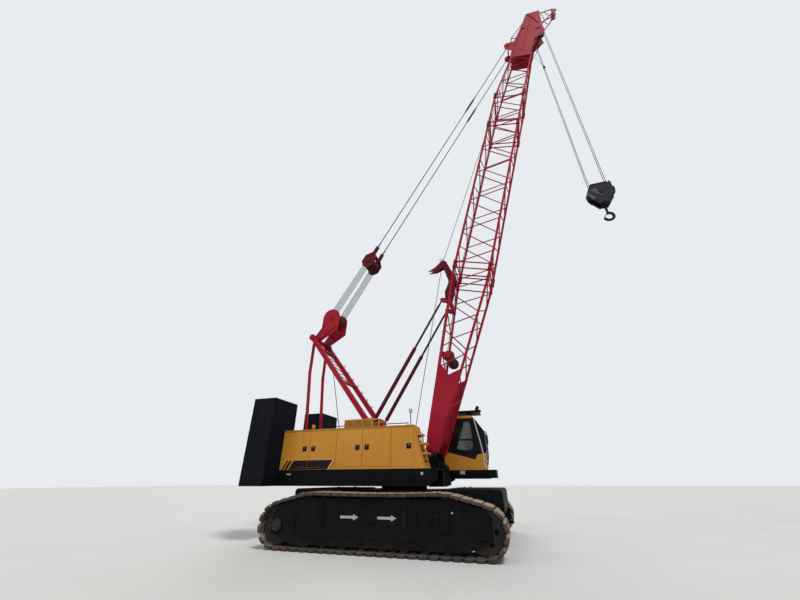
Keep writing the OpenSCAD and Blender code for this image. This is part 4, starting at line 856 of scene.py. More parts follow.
def line(start, end, count, up):
    # spots for strew, evenly from start to end
    start, end = Vector(start), Vector(end)
    return [(tuple(start.lerp(end, k / (count - 1))), (1, 0, 0), up) for k in range(count)]


def flank(side, face, low, high):
    # both ends, in order, of what stands from low to high out of a side wall
    return sorted((side * (face + low), side * (face + high)))


def onSide(form, side, face, x0, x1, z0, z1, low, high, rounding=0.002):
    # a block on a side wall
    y0, y1 = flank(side, face, low, high)
    form.block((x0, y0, z0), (x1, y1, z1), rounding)


def hub(form, side, out, profile, place, sides=20):
    # a turned part on a side wall, its heights measured outwards from out
    form.turned([(r, side * (out + h)) for r, h in profile], place, "y", sides)


def louvre(form, side, face, z, x0, x1, out, lip):
    # a sloping slat on a side wall
    form.prism([(side * face, z), (side * (face + out), z - 0.008), (side * (face + out), z + lip),
        (side * face, z + 0.014)], x0, x1, "x")


def stiffener(form, a, b, ends):
    # a flat bar on edge between two places of the side view
    across = Vector((-(b - a).z, 0, (b - a).x)).normalized() * 0.009
    form.prism([(p.x, p.z) for p in (a - across, b - across, b + across, a + across)], *ends, "y", 0.002)


def evenly(x, half):
    # an outline that is even about x, from its front half
    return [(x - half[0][0], half[0][1])] + [(x + a, z) for a, z in half] + [(x - a, z) for a, z in half[:0:-1]]


def boltCircle(place, radius, count, side, start=0.0, radial=False):
    # spots round a place on a side wall, the first one a share of a step on
    spots = []
    for k in range(count):
        a = 2 * math.pi * (k + start) / count
        spots.append(((place[0] + radius * math.cos(a), place[1], place[2] + radius * math.sin(a)),
            (math.cos(a), 0, math.sin(a)) if radial else (1, 0, 0), (0, side, 0)))
    return spots


smallBolt, midBolt, bigBolt = hexBolt(0.008, 0.007), hexBolt(0.014, 0.013), hexBolt(0.024, 0.02)


def trimDoor(name, rear, front, hinge, side):
    # latch, hinge leaves, inner foam and what stripes cross the door
    form = Form()
    face, edge = hood["side"], hood["gap"]
    latch = front - hood["latchIn"] if hinge < 0 else rear + hood["latchIn"]
    high = hood["latchHigh"]
    form.coat = 3
    onSide(form, side, face, latch - 0.079, latch + 0.079, high - 0.079, high + 0.079, 0, 0.014, 0.006)
    onSide(form, side, face, latch - 0.052, latch + 0.052, high - 0.052, high - 0.006, 0.013, 0.021, 0.004)
    onSide(form, side, face, latch - 0.052, latch + 0.052, high + 0.012, high + 0.05, 0.013, 0.018, 0.003)
    form.coat = 5
    hub(form, side, face + 0.013, [(0.013, 0), (0.013, 0.006), (0.009, 0.008)], (latch, 0, high + 0.03), 12)
    form.coat = 4
    pin = rear + edge + 0.003 if hinge < 0 else front - edge - 0.003
    for z in (hood["doorLow"] + 0.17, hood["doorTop"] - 0.17):
        onSide(form, side, face, min(pin, pin - hinge * 0.11), max(pin, pin - hinge * 0.11), z - 0.024, z + 0.024, 0,
            0.003, 0.0006)
        for k in (0.035, 0.085):
            hub(form, side, face + 0.003, [(0.009, 0), (0.009, 0.0016), (0.006, 0.0024)], (pin - hinge * k, 0, z), 8)
    form.coat = 6
    onSide(form, side, face, rear + 0.09, front - 0.09, hood["doorLow"] + 0.08, hood["doorTop"] - 0.08, -0.049,
        -0.0395, 0.004)
    if side < 0:
        layStripes(form, hood["doorLow"] + 0.003, hood["stripeTop"], rear + edge + 0.001, front - edge - 0.001)
    if side > 0:
        # cooling louvres
        form.coat = 4
        for k in range(14):
            louvre(form, side, face, hood["doorLow"] + 0.16 + k * 0.028, rear + 0.2, front - 0.2, 0.016, -0.003)
    form.close(camelCase(name) + "Trim", ["blackFilm", "whiteFilm", "redFilm", "blackMoulding", "ochrePaint",
        "brightSteel", "foam"], name + "_body", "black_paint")


for name, (rear, front, hinge, side) in hood["doors"].items():
    trimDoor(name, rear, front, hinge, side)


def trimHoods():
    form = Form()
    face, top = hood["side"], hood["top"]
    layStripes(form, hood["stripeLow"], hood["doorLow"] - 0.0065, hood["rear"] + 0.01, 1.0)
    # gutters over the doors, and a seam strip down the sloping front's edge
    form.coat = 3
    for side, end in ((-1, hood["roof"] + 0.01), (1, hood["leftFront"])):
        onSide(form, side, face, hood["rear"], end, top - 0.03, top - 0.006, 0, 0.012, 0.004)
        onSide(form, side, face, hood["rear"], end, top - 0.012, top + 0.006, -0.03, 0.004, 0.003)
    form.prism([(frontX(2.06) - 0.035, 2.06), (frontX(2.06) - 0.002, 2.06), (frontX(3.3) - 0.002, 3.3),
        (frontX(3.3) - 0.035, 3.3)], -face - 0.006, -face + 0.001, "y", 0.002)
    # roof hatches with their frames
    for x0, x1 in ((-3.85, -3.2), (-2.75, -1.95)):
        form.block((x0, -1.5, top - 0.002), (x1, -0.96, top + 0.016), 0.006)
        form.block((x0 + 0.03, -1.47, top + 0.015), (x1 - 0.03, -0.99, top + 0.024), 0.004)
    # air intake louvres on the raised box, facing out and forward
    form.coat = 4
    # painted shade: a thin black sheet behind the slats stands for the shaded inside of the air box
    form.block((-1.73, -1.484, top + 0.05), (-0.74, -1.479, top + 0.25), 0.001)
    form.coat = 3
    for k in range(9):
        z = top + 0.062 + k * 0.021
        form.prism([(-1.483, z), (-1.497, z - 0.004), (-1.497, z), (-1.483, z + 0.013)], -1.71, -0.76, "x")
    for x in (-1.735, -1.4, -1.07, -0.74):
        form.block((x - 0.012, -1.499, top + 0.045), (x + 0.012, -1.478, top + 0.257), 0.003)
    for low, high in ((0.245, 0.262), (0.04, 0.054)):
        form.block((-1.735, -1.499, top + low), (-0.74, -1.478, top + high), 0.003)
    # grille over the air box's roof
    form.coat = 4
    # painted shade: a thin black sheet under the grille's bars stands for the shaded space beneath them
    form.block((-1.7, -1.42, top + 0.289), (-0.83, -0.98, top + 0.293))
    for k in range(20):
        x = -1.68 + k * 0.044
        form.block((x, -1.42, top + 0.29), (x + 0.012, -0.98, top + 0.306), 0.002)
    # silver work lamp on the sloping front, and grip bars beside the steps
    form.coat = 5
    form.turned([(0.03, 0), (0.09, 0.02), (0.098, 0.075), (0.098, 0.085), (0.088, 0.088)],
        (frontX(2.88) - 0.002, -1.46, 2.88), "x", 24)
    form.coat = 7
    form.turned([(0.086, 0.0), (0.07, 0.012), (0.03, 0.02)], (frontX(2.88) + 0.085, -1.46, 2.88), "x", 24)
    form.coat = 4
    for z in (2.56, 2.24):
        x = frontX(z)
        form.pipe(bent([(x - 0.01, -1.5, z), (x + 0.07, -1.5, z), (x + 0.06, -1.2, z + 0.0), (x - 0.01, -1.2, z)],
            0.03), 0.011, 8)
    # anti-slip ribs on the steps
    for z, reach in ((3.07, 0.16), (2.79, 0.22), (2.5, 0.185)):
        for k in range(4):
            x = frontX(z) + 0.03 + k * (reach - 0.05) / 4
            form.block((x, -1.54, z - 0.001), (x + 0.008, -1.16, z + 0.005), 0.001)
    form.close("hoodTrim", ["blackFilm", "whiteFilm", "redFilm", "ochrePaint", "blackMoulding", "brightSteel", "foam",
        "lampLens"], "upper", "black_paint")
    lens = Form()
    lens.turned([(0.052, 0), (0.058, 0.012), (0.058, 0.07), (0.046, 0.098), (0.02, 0.108)], (-3.0, -1.5, top + 0.06),
        "z", 24)
    for k in range(4):
        lens.turned([(0.0585, 0), (0.061, 0.003), (0.0585, 0.006)], (-3.0, -1.5, top + 0.078 + k * 0.015), "z", 24)
    lens.coat = 1
    lens.turned([(0.075, 0), (0.078, 0.006), (0.066, 0.02), (0.058, 0.024)], (-3.0, -1.5, top), "z", 24)
    lens.close("beaconLens", ["amberLens", "blackMoulding"], "upper", "ochre_paint")
    lamp = Form()
    lamp.block((0.646, -1.545, top + 0.414), (0.754, -1.455, top + 0.535), 0.01)
    lamp.coat = 1
    lamp.block((0.753, -1.535, top + 0.428), (0.76, -1.465, top + 0.52), 0.004)
    lamp.coat = 2
    lamp.pipe(bent([(0.7, -1.5, top + 0.02), (0.7, -1.482, top + 0.06), (0.7, -1.482, top + 0.4)], 0.02), 0.006, 6)
    lamp.close("mastLamp", ["greyPlate", "lampLens", "rubber"], "upper", "ochre_paint")
    spots = []
    for side in (-1, 1):
        end, z = 0.78 if side < 0 else 0.3, top - 0.048
        spots += line((hood["rear"] + 0.06, side * face, z), (end, side * face, z), 26, (0, side, 0))
    for x0, x1 in ((-3.85, -3.2), (-2.75, -1.95)):
        for y in (-1.485, -0.975):
            spots += line((x0 + 0.05, y, top + 0.016), (x1 - 0.05, y, top + 0.016), 5, (0, 0, 1))
    strew("hoodBolts", spots, smallBolt, "ochrePaint", "upper", "ochre_paint")


trimHoods()
print("hoods done")

# upper frame

deckPlan = {"rear": -4.13, "front": 1.55, "half": 1.607}


def trimDeck():
    form = Form()
    face = deckPlan["half"]
    for side in (-1, 1):
        # rubbing bar along the foot, blank label plates and lifting lugs
        onSide(form, side, face, deckPlan["rear"] + 0.03, deckPlan["front"] - 0.4, 1.552, 1.582, 0, 0.014, 0.004)
        onSide(form, side, face, deckPlan["rear"] + 0.03, deckPlan["front"] - 0.02, 2.018, 2.036, 0, 0.01, 0.003)
        for x in (-3.3, -1.3, 0.7):
            form.band(evenly(x, [(0.07, 1.7), (0.07, 1.79), (0.035, 1.85)]),
                evenly(x, [(0.03, 1.74), (0.032, 1.78), (0.02, 1.81)]), *flank(side, face, 0, 0.022), "y", 0.003)
        for x in (-2.3, -0.3):
            onSide(form, side, face, x - 0.24, x + 0.24, 1.66, 1.94, 0, 0.006, 0.003)
            onSide(form, side, face, x + 0.15, x + 0.18, 1.78, 1.82, 0.006, 0.018, 0.003)
    form.coat = 1
    onSide(form, -1, face, -3.8, -3.62, 1.885, 1.925, 0, 0.002, 0.0005)
    onSide(form, -1, face, 1.02, 1.1, 1.86, 1.94, 0, 0.002, 0.0005)
    # valve block, filters and rigid pipes between the girders in front
    form.coat = 0
    form.block((1.26, -0.42, 2.035), (1.5, 0.42, 2.2), 0.012)
    for k in range(6):
        form.block((1.3, -0.36 + k * 0.13, 2.19), (1.46, -0.28 + k * 0.13, 2.27), 0.008)
    form.coat = 2
    for k in range(6):
        y = -0.32 + k * 0.13
        form.pipe(bent([(1.3, y, 2.13), (1.22 - k * 0.012, y, 2.13), (1.2 - k * 0.012, y, 2.075 + k * 0.004),
            (0.8, y, 2.07)], 0.04), 0.013, 8)
        form.pipe(bent([(1.48, y, 2.14), (1.565, y, 2.14), (1.575, y, 1.9), (1.575, y, 1.62), (1.5, y, 1.535),
            (0.98, y * 1.3, 1.53)], 0.05), 0.014, 8)
    form.coat = 0
    for y in (-0.5, 0.5):
        form.turned([(0.07, 0), (0.075, 0.02), (0.075, 0.2), (0.05, 0.24)], (1.36, y, 2.04), "z", 20)
    form.close("deckTrim", ["blackPaint", "greyPlate", "rubber"], "upper", "black_paint")
    spots = []
    for side in (-1, 1):
        y = side * (face + 0.014)
        spots += line((-4.05, y, 1.567), (1.1, y, 1.567), 18, (0, side, 0))
        y = side * (face + 0.006)
        for x in (-2.3, -0.3):
            for z in (1.68, 1.92):
                spots += line((x - 0.21, y, z), (x + 0.21, y, z), 4, (0, side, 0))
    strew("deckBolts", spots, midBolt, "blackPaint", "upper", "black_paint")


trimDeck()
print("upper frame done")

# cab

cab = {
    "inner": 0.86, "outer": 1.78, "rear": 1.25, "top": 3.93,
    # the front's line as height and x
    "front": [(2.04, 2.82), (2.74, 2.9), (3.35, 2.88), (3.84, 2.55), (3.93, 2.44)],
    # black window surround on the inner side, and the glass that it leaves
    "surround": [(1.29, 2.7), (1.9, 2.54), (2.472, 2.385), (2.553, 2.545), (2.76, 2.58), (2.55, 3.835), (1.29, 3.845)],
    "pane": [(1.42, 2.89), (1.9, 2.727), (2.33, 2.69), (2.4, 2.75), (2.44, 3.07), (2.37, 3.71), (1.42, 3.73)],
    # bright strip down the side, as height and x
    "strip": [(2.09, 2.8), (2.586, 2.773), (2.945, 2.713), (3.39, 2.632), (3.835, 2.546)],
    "seatY": 1.32, "floor": 2.085,
}


def cabFront(z):
    # x of the cab's front at this height
    for (low, a), (high, b) in zip(cab["front"], cab["front"][1:]):
        if z <= high:
            return a + (b - a) * (z - low) / (high - low)
    return cab["front"][-1][1]


def trimCab():
    form = Form()
    form.band(cab["surround"], cab["pane"], cab["inner"] - 0.009, cab["inner"] + 0.0005, "y", 0.003)
    form.block((1.4, cab["inner"] - 0.01, 3.035), (2.46, cab["inner"] + 0.01, 3.092), 0.004)
    form.prism([(x, z) for z, x in cab["strip"][1:]] + [(cabFront(z) + 0.003, z)
        for z in (3.84, 3.6, 3.35, 3.0, 2.74, 2.6)], cab["inner"] - 0.008, cab["inner"] + 0.001)
    for low, high in ((0.858, 0.95), (1.69, 1.782)):
        form.prism([(cabFront(z) - 0.002, z) for z in (2.4, 2.74, 3.35, 3.84)]
            + [(cabFront(z) + 0.006, z) for z in (3.84, 3.35, 2.74, 2.4)], low, high)
    # gaskets round the front, rear and quarter panes
    heights = [2.385, 2.74, 3.35, 3.79]
    for y in (0.945, 1.695):
        form.pipe([(cabFront(z) - 0.008, y, z) for z in heights], 0.014, 8)
    for z in (2.39, 2.745, 3.785):
        form.pipe([(cabFront(z) - 0.008, 0.95, z), (cabFront(z) - 0.008, 1.69, z)], 0.012, 8)
    form.window(0.965, 2.925, 1.675, 3.735, 0.035, cab["rear"] - 0.006, cab["rear"] + 0.001, "x")
    form.window(2.385, 2.585, 2.645, 3.595, 0.035, cab["outer"] - 0.001, cab["outer"] + 0.006)
    # wiper with its motor
    form.block((2.842, 1.28, 2.22), (2.885, 1.36, 2.3), 0.008)
    form.pipe([(2.89, 1.32, 2.28), (2.925, 1.3, 2.5), (2.93, 1.24, 3.0)], 0.009, 6)
    form.pipe([(2.914, 1.24, 2.76), (2.913, 1.24, 3.02), (2.906, 1.24, 3.28)], 0.011, 6)
    # mirror on the left front corner
    form.pipe(bent([(2.8, 1.775, 3.42), (2.86, 1.9, 3.46), (2.9, 2.0, 3.4), (2.9, 2.0, 2.95)], 0.05), 0.011, 8)
    form.block((2.878, 1.93, 3.0), (2.918, 2.09, 3.32), 0.018)
    # grab rail beside the door
    form.pipe(bent([(2.34, 1.775, 2.42), (2.34, 1.83, 2.42), (2.34, 1.83, 3.5), (2.34, 1.775, 3.5)], 0.04), 0.013, 8)
    form.coat = 1
    form.prism([(x - 0.024, z) for z, x in cab["strip"]] + [(x + 0.024, z) for z, x in cab["strip"][::-1]],
        cab["inner"] - 0.016, cab["inner"] - 0.002, "y", 0.003)
    form.block((2.874, 1.935, 3.006), (2.879, 2.085, 3.314), 0.004)
    form.coat = 2
    form.prism([(2.472, 2.36), (2.86, 2.3), (2.892, 2.6), (2.76, 2.582), (2.55, 2.55)], cab["inner"] - 0.005,
        cab["inner"] + 0.0005)
    form.block((1.32, 0.92, cab["top"] - 0.002), (2.36, 1.72, cab["top"] + 0.012), 0.008)
    form.block((1.62, 1.08, cab["top"] + 0.01), (2.16, 1.56, cab["top"] + 0.03), 0.01)
    form.close("cabTrim", ["blackMoulding", "brightSteel", "ochrePaint"], "upper", "black_paint")


trimCab()


def trimGuard():
    # grating on the cab's roof guard, its upturned visor and two lamps
    form = Form()
    top = cab["top"] + 0.164
    for k in range(22):
        x = 1.61 + k * 0.052
        form.block((x, 0.895, top - 0.002), (x + 0.012, 1.745, top + 0.022), 0.002)
    for y in (0.885, 1.3, 1.735):
        form.block((1.585, y, top - 0.002), (2.755, y + 0.02, top + 0.03), 0.003)
    for y in (0.93, 1.71):
        form.prism([(2.62, top + 0.0), (2.72, top + 0.0), (2.8, top + 0.14), (2.71, top + 0.2), (2.64, top + 0.1)],
            y - 0.05, y + 0.05, "y", 0.01)
    form.coat = 1
    for y in (0.93, 1.71):
        form.prism([(2.732, top + 0.01), (2.737, top + 0.008), (2.805, top + 0.13), (2.8, top + 0.134)], y - 0.04,
            y + 0.04)
    form.close("guardTrim", ["blackPaint", "lampLens"], "upper", "black_paint")


trimGuard()


def trimCabDoor():
    form = Form()
    y = cab["outer"]
    form.window(1.435, 2.725, 2.235, 3.735, 0.04, y - 0.001, y + 0.006)
    form.block((1.47, y - 0.026, 3.2), (2.2, y - 0.018, 3.225), 0.002)
    form.block((2.12, y, 2.54), (2.25, y + 0.012, 2.64), 0.005)
    form.pipe(bent([(2.14, y + 0.01, 2.6), (2.14, y + 0.042, 2.6), (2.23, y + 0.042, 2.6), (2.23, y + 0.01, 2.6)],
        0.015), 0.009, 8)
    form.coat = 1
    for z0, z1 in ((2.18, 2.42), (2.45, 2.69)):
        form.block((1.44, y - 0.001, z0), (2.08, y + 0.005, z1), 0.004)
    form.coat = 2
    form.block((1.452, y - 0.0275, 2.742), (2.218, y - 0.0215, 3.718), 0.001)
    form.close("cabDoorTrim", ["blackMoulding", "ochrePaint", "cabGlass"], "cab_door_body", "ochre_paint")


trimCabDoor()


def cushion(form, centre, half, channels, square=0.45, tilt=0.0):
    # a stuffed form: crowned, its sides pulled in between the corners, sewn along channels on its face
    def power(value, share):
        return math.copysign(abs(value) ** share, value)
    sides, tiers = 44, 18
    rings = []
    for j in range(1, tiers):
        v = math.pi * (j / tiers - 0.5)
        ring = []
        for i in range(sides):
            u = 2 * math.pi * i / sides
            pull = 1 - 0.04 * math.cos(2 * u) ** 2 * math.cos(v)
            spot = [half[0] * power(math.cos(v), square) * power(math.cos(u), square) * pull,
                    half[1] * power(math.cos(v), square) * power(math.sin(u), square) * pull,
                    half[2] * power(math.sin(v), 0.75)]
            sewn = sum(math.exp(-((spot[1] - at) / 0.009) ** 2) for at in channels)
            spot[2] -= 0.008 * sewn * (1 if v > 0 else 0)
            ring.append(spot)
        rings.append(ring)
    turn = Matrix.Translation(centre) @ Matrix.Rotation(tilt, 4, "Y")
    points = [[form.work.verts.new(turn @ Vector(spot)) for spot in ring] for ring in rings]
    form.skin(points, True)
    form.settle(sum(points, []))


def seatCab():
    form = Form()
    y, floor = cab["seatY"], cab["floor"]
    # suspension base with bellows, seat shell and arm rests
    form.block((1.66, y - 0.2, floor), (2.04, y + 0.2, floor + 0.05), 0.01)
    for k in range(5):
        fold = 0.008 * (k % 2)
        form.block((1.69 + fold, y - 0.17, floor + 0.05 + k * 0.04),
                   (2.01 - fold, y + 0.17, floor + 0.088 + k * 0.04), 0.01)
    form.block((1.6, y - 0.24, floor + 0.25), (2.12, y + 0.24, floor + 0.31), 0.02)
    form.block((1.49, y - 0.23, floor + 0.33), (1.525, y + 0.23, floor + 1.05), 0.015)
    for side in (-1, 1):
        arm = y + side * 0.33
        form.block((1.67, arm - 0.055, floor), (2.09, arm + 0.055, floor + 0.5), 0.02)
        form.block((1.62, arm - 0.06, floor + 0.49), (2.14, arm + 0.06, floor + 0.55), 0.025)
        form.pipe([(2.04, arm, floor + 0.54), (2.05, arm, floor + 0.68)], 0.012, 8)
        form.ball((2.05, arm, floor + 0.7), 0.03, 12)
    # monitor, side panel and pedals
    form.block((2.5, 0.94, floor), (2.62, 1.03, floor + 0.62), 0.02)
    form.block((2.46, 0.93, floor + 0.62), (2.5, 1.16, floor + 0.82), 0.01)
    for k in (-0.16, 0.0, 0.16):
        form.block((2.5, y + k - 0.04, floor + 0.06), (2.62, y + k + 0.04, floor + 0.075), 0.005)
        form.pipe([(2.56, y + k, floor), (2.56, y + k, floor + 0.065)], 0.01, 6)
    form.close("cabFittings", ["blackMoulding"], "upper", "seat_plastic", stands=["cab_seat"])
    pads = Form()
    cushion(pads, (1.86, y, floor + 0.37), (0.27, 0.26, 0.066), (-0.16, -0.08, 0.0, 0.08, 0.16))
    cushion(pads, (1.56, y, floor + 0.72), (0.38, 0.25, 0.055), (-0.15, -0.05, 0.05, 0.15), tilt=-math.pi / 2 + 0.04)
    cushion(pads, (1.555, y, floor + 1.17), (0.085, 0.13, 0.045), (), 0.6, tilt=-math.pi / 2)
    pads.close("seatPads", ["seatVinyl"], "upper", "seat_plastic", 60, ["cab_seat"])


seatCab()


def trimPlatform():
    form = Form()
    # tread ribs, edge strip, step and brackets
    for k in range(9):
        form.block((2.93 + k * 0.023, 0.86, 2.039), (2.938 + k * 0.023, 1.78, 2.046), 0.001)
    form.block((3.146, 0.84, 2.0), (3.156, 1.8, 2.046), 0.003)
    form.block((1.62, 1.8, 1.8), (2.2, 2.0, 1.825), 0.004)
    for x in (1.66, 2.12):
        form.prism([(1.808, 1.98), (1.808, 1.79), (1.98, 1.79), (1.98, 1.81), (1.84, 1.98)], x, x + 0.025, "x", 0.002)
    for k in range(8):
        form.block((1.64 + k * 0.07, 1.82, 1.824), (1.66 + k * 0.07, 1.99, 1.832), 0.001)
    for x in (1.75, 2.55, 3.05):
        form.block((x, 0.822, 1.79), (x + 0.05, 0.831, 2.03), 0.003)
    form.pipe(bent([(2.3, 0.815, 1.95), (2.3, 0.79, 1.95), (2.95, 0.79, 1.95), (2.95, 0.815, 1.95)], 0.03), 0.011, 8)
    form.coat = 1
    form.block((1.87, 0.8275, 1.9), (2.055, 0.8305, 2.02), 0.001)
    form.coat = 2
    for k in range(3):
        form.pipe(bent([(1.6, 1.3 + k * 0.06, 1.769), (2.9, 1.3 + k * 0.06, 1.769), (2.95, 1.3 + k * 0.06, 1.8)],
            0.03), 0.012, 8)
    form.close("platformTrim", ["blackPaint", "greyPlate", "rubber"], "upper", "black_paint")
    spots = []
    for x in (1.75, 2.55, 3.05):
        spots += line((x + 0.025, 0.822, 1.82), (x + 0.025, 0.822, 2.0), 3, (0, -1, 0))
    spots += line((1.62, cab["inner"] - 0.001, 2.09), (2.74, cab["inner"] - 0.001, 2.09), 9, (0, -1, 0))
    strew("platformBolts", spots, smallBolt, "blackPaint", "upper", "black_paint")


trimPlatform()
print("cab done")

# ropes

rig = {
    "gantry": (-3.38, 8.42), "pendantEnd": (7.147, 25.826), "foot": (1.174, 2.461), "boomTurn": math.radians(73.76),
    "head": (9.0984, 26.6625), "falls": 3.3, "reach": 0.86, "luffSheave": 0.26, "luffPitch": 0.104, "luffRope": 0.015,
    "headSheave": 0.35, "hoistRope": 0.0135, "hoistPitch": 0.078, "block": 12.75, "lugY": 0.33, "tip": 22.902,
    "luffWinch": (-2.25, 2.44, 0.193), "hoistWinch": (0.46, 2.48, 0.203), "spindle": 14.84,
    # trip weight's height, and the rope guide's rollers in the boom's frame
    "trip": 22.95, "rollers": ((7.986, 1.469), (7.486, 1.009)),
}
rig["ropeTurn"] = math.atan2(rig["pendantEnd"][1] - rig["gantry"][1], rig["pendantEnd"][0] - rig["gantry"][0])
rig["line"] = math.dist(rig["gantry"], rig["pendantEnd"])


def inRow(place, turn, a, b, y):
    # a point of a turned frame: a along it, b square to it on its rear side
    return Vector((place[0] + a * math.cos(turn) - b * math.sin(turn), y,
        place[1] + a * math.sin(turn) + b * math.cos(turn)))


def fallsPoint(u, w=0.0, y=0.0):
    return inRow(rig["gantry"], rig["ropeTurn"], u, w, y)


def boomPoint(s, n=0.0, y=0.0):
    return inRow(rig["foot"], rig["boomTurn"], s, n, y)


def arc(point, centre, radius, start, end, y, steps=9):
    # points round a sheave in one of the turned frames, angles in degrees
    return [point(centre[0] + radius * math.cos(a), centre[1] + radius * math.sin(a), y)
            for a in (math.radians(start + (end - start) * k / steps) for k in range(steps + 1))]


def reeveLuffing():
    # one rope: from its winch over the first gantry sheave, then to and fro between gantry and bridle
    r, pitch = rig["luffSheave"], rig["luffPitch"]
    gantryY = [(k - 2.5) * pitch for k in range(6)]
    bridleY = [(k - 2) * pitch for k in range(5)]
    winchX, winchZ, drum = rig["luffWinch"]
    way = (Vector((winchX, winchZ)) - Vector(rig["gantry"])).normalized()
    lead = math.degrees(math.atan2(-way.x, way.y) - rig["ropeTurn"]) % 360
    path = [Vector((winchX + drum * way.y, -0.1, winchZ - drum * way.x))]
    path += arc(fallsPoint, (0, 0), r, lead, 90, gantryY[0])
    for k, y in enumerate(bridleY):
        path += arc(fallsPoint, (rig["falls"], 0), r, 90, -90, y)
        path += arc(fallsPoint, (0, 0), r, -90, -270 if k < 4 else -165, gantryY[k + 1])
    form = Form()
    form.pipe(path, rig["luffRope"], 8)
    piece = linked("luffingRope", form.mesh("luffingRope", ["ropeSteel"], 60))
    tuple(fallsPoint(0))
    tuple(fallsPoint(rig["falls"]))
    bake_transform(piece)
    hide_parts("lower_luffing_falls", "upper_luffing_falls")


def reeveHoist():
    # hoist rope from its winch to the guide's roller, then along the boom's back and over the head
    x, z, drum = rig["hoistWinch"]
    roller = rig["rollers"][0]
    form = Form()
    form.pipe([(x - drum, 0, z), boomPoint(roller[0] - 0.02, roller[1] + 0.083),
        boomPoint(roller[0] + 0.02, roller[1] + 0.084)], rig["hoistRope"], 8)
    piece = linked("hoistLead", form.mesh("hoistLead", ["ropeSteel"], 60))
    tuple(boomPoint(roller[0] - 0.03, roller[1] + 0.083))
    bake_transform(piece)
    form = Form()
    top, axle = (rig["tip"] + 2.8, 0.08), (rig["tip"] + 2.55, -0.84)
    level = math.degrees(rig["boomTurn"])
    path = [boomPoint(roller[0] + 0.02, roller[1] + 0.084)]
    path += arc(boomPoint, top, 0.262, 90, -15, 0.0)
    path += arc(boomPoint, axle, rig["headSheave"], -15, -level, -rig["hoistPitch"])
    form.pipe(path, rig["hoistRope"], 8)
    form.pipe(arc(boomPoint, axle, rig["headSheave"], 180 - level, -level, rig["hoistPitch"], 16), rig["hoistRope"], 8)
    form.close("hoistRope", ["ropeSteel"], "boom", "rope_steel", 60)
    form = Form()
    headX, headZ = rig["head"]
    for y in (-rig["hoistPitch"], rig["hoistPitch"]):
        path = [(headX - rig["headSheave"], y, headZ)]
        path += [(headX + rig["headSheave"] * math.cos(a), y, rig["block"] + rig["headSheave"] * math.sin(a))
            for a in (math.pi + math.pi * k / 14 for k in range(15))]
        form.pipe(path + [(headX + rig["headSheave"], y, headZ)], rig["hoistRope"], 8)
    form.coat = 1
    trip = Vector((headX - rig["headSheave"], -rig["hoistPitch"], rig["trip"]))
    form.turned([(0.03, -0.09), (0.05, -0.07), (0.05, 0.07), (0.03, 0.09)], trip, "z", 14)
    form.close("hookRopes", ["ropeSteel", "rubber"], "block_body", "rope_steel", 60, stands=["hook_falls"])
    form = Form()
    hold, eye = boomPoint(22.8, -0.7, -0.385), trip + Vector((0, 0, 0.06))
    form.pipe([hold.lerp(eye, k / 16) - Vector((0, 0, 0.16 * k / 16 * (1 - k / 16))) for k in range(17)], 0.007, 6)
    piece = linked("tripLine", form.mesh("tripLine", ["rubber"], 60))
    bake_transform(piece)


reeveLuffing()
reeveHoist()


pendant = {
    "rope": 0.0225,
    # the spindle-shaped link: distance from its middle, radius
    "link": ((-0.68, 0.024), (-0.64, 0.034), (-0.48, 0.037), (-0.4, 0.052), (0.4, 0.052), (0.48, 0.037),
             (0.64, 0.034), (0.68, 0.024)),
    # an end's socket: distance from its pin, radius
    "socket": ((0.03, 0.033), (0.2, 0.034), (0.28, 0.033), (0.36, 0.026)),
}


def hangPendants():
    # a laid rope each side, with an open socket at each end and a spindle-shaped link on its way
    form = Form()
    near, far, mid = rig["falls"] + rig["reach"], rig["line"], rig["spindle"]
    for side in (-1, 1):
        y = side * rig["lugY"]
        form.coat = 0
        for ends in ((near + 0.25, mid - 0.6), (mid + 0.6, far - 0.25)):
            form.pipe([fallsPoint(u, 0, y) for u in ends], pendant["rope"], 10)
        form.coat = 1
        form.pipe([fallsPoint(mid + u, 0, y) for u, r in pendant["link"]], [r for u, r in pendant["link"]], 16)
        for k in (-0.3, -0.1, 0.1, 0.3):
            form.pipe([fallsPoint(mid + k - 0.02, 0, y), fallsPoint(mid + k + 0.02, 0, y)], 0.056, 16)
        for end, way in ((near, 1), (far, -1)):
            socket = pendant["socket"]
            form.pipe([fallsPoint(end + way * u, 0, y) for u, r in socket], [r for u, r in socket], 14)
            eye = fallsPoint(end, 0, y)
            form.turned([(0.03, -0.034), (0.07, -0.034), (0.075, -0.028), (0.075, 0.028), (0.07, 0.034),
                (0.03, 0.034)], eye, "y", 24)
            form.turned([(0.027, -0.062), (0.027, 0.062)], eye, "y", 14)
    form.close("pendantRopes", ["pendantRope", "rodSteel"], "boom", "rope_steel", 50, stands=["pendants"])


hangPendants()
print("ropes done")

# undercarriage

base = {
    "face": 2.995, "wheel": 2.93, "wheelZ": 0.6, "capFace": 3.03, "roller": 0.58, "rollerZ": 0.29,
    "rollerFace": 3.013, "ledgeZ": 0.37, "arrows": ((-0.94, -0.4), (0.155, 0.69)), "arrowZ": 0.83,
    "pads": (-1.56, 1.13, 1.975), "padFace": 3.02, "stepFace": 3.025, "driveFace": 2.325,
}


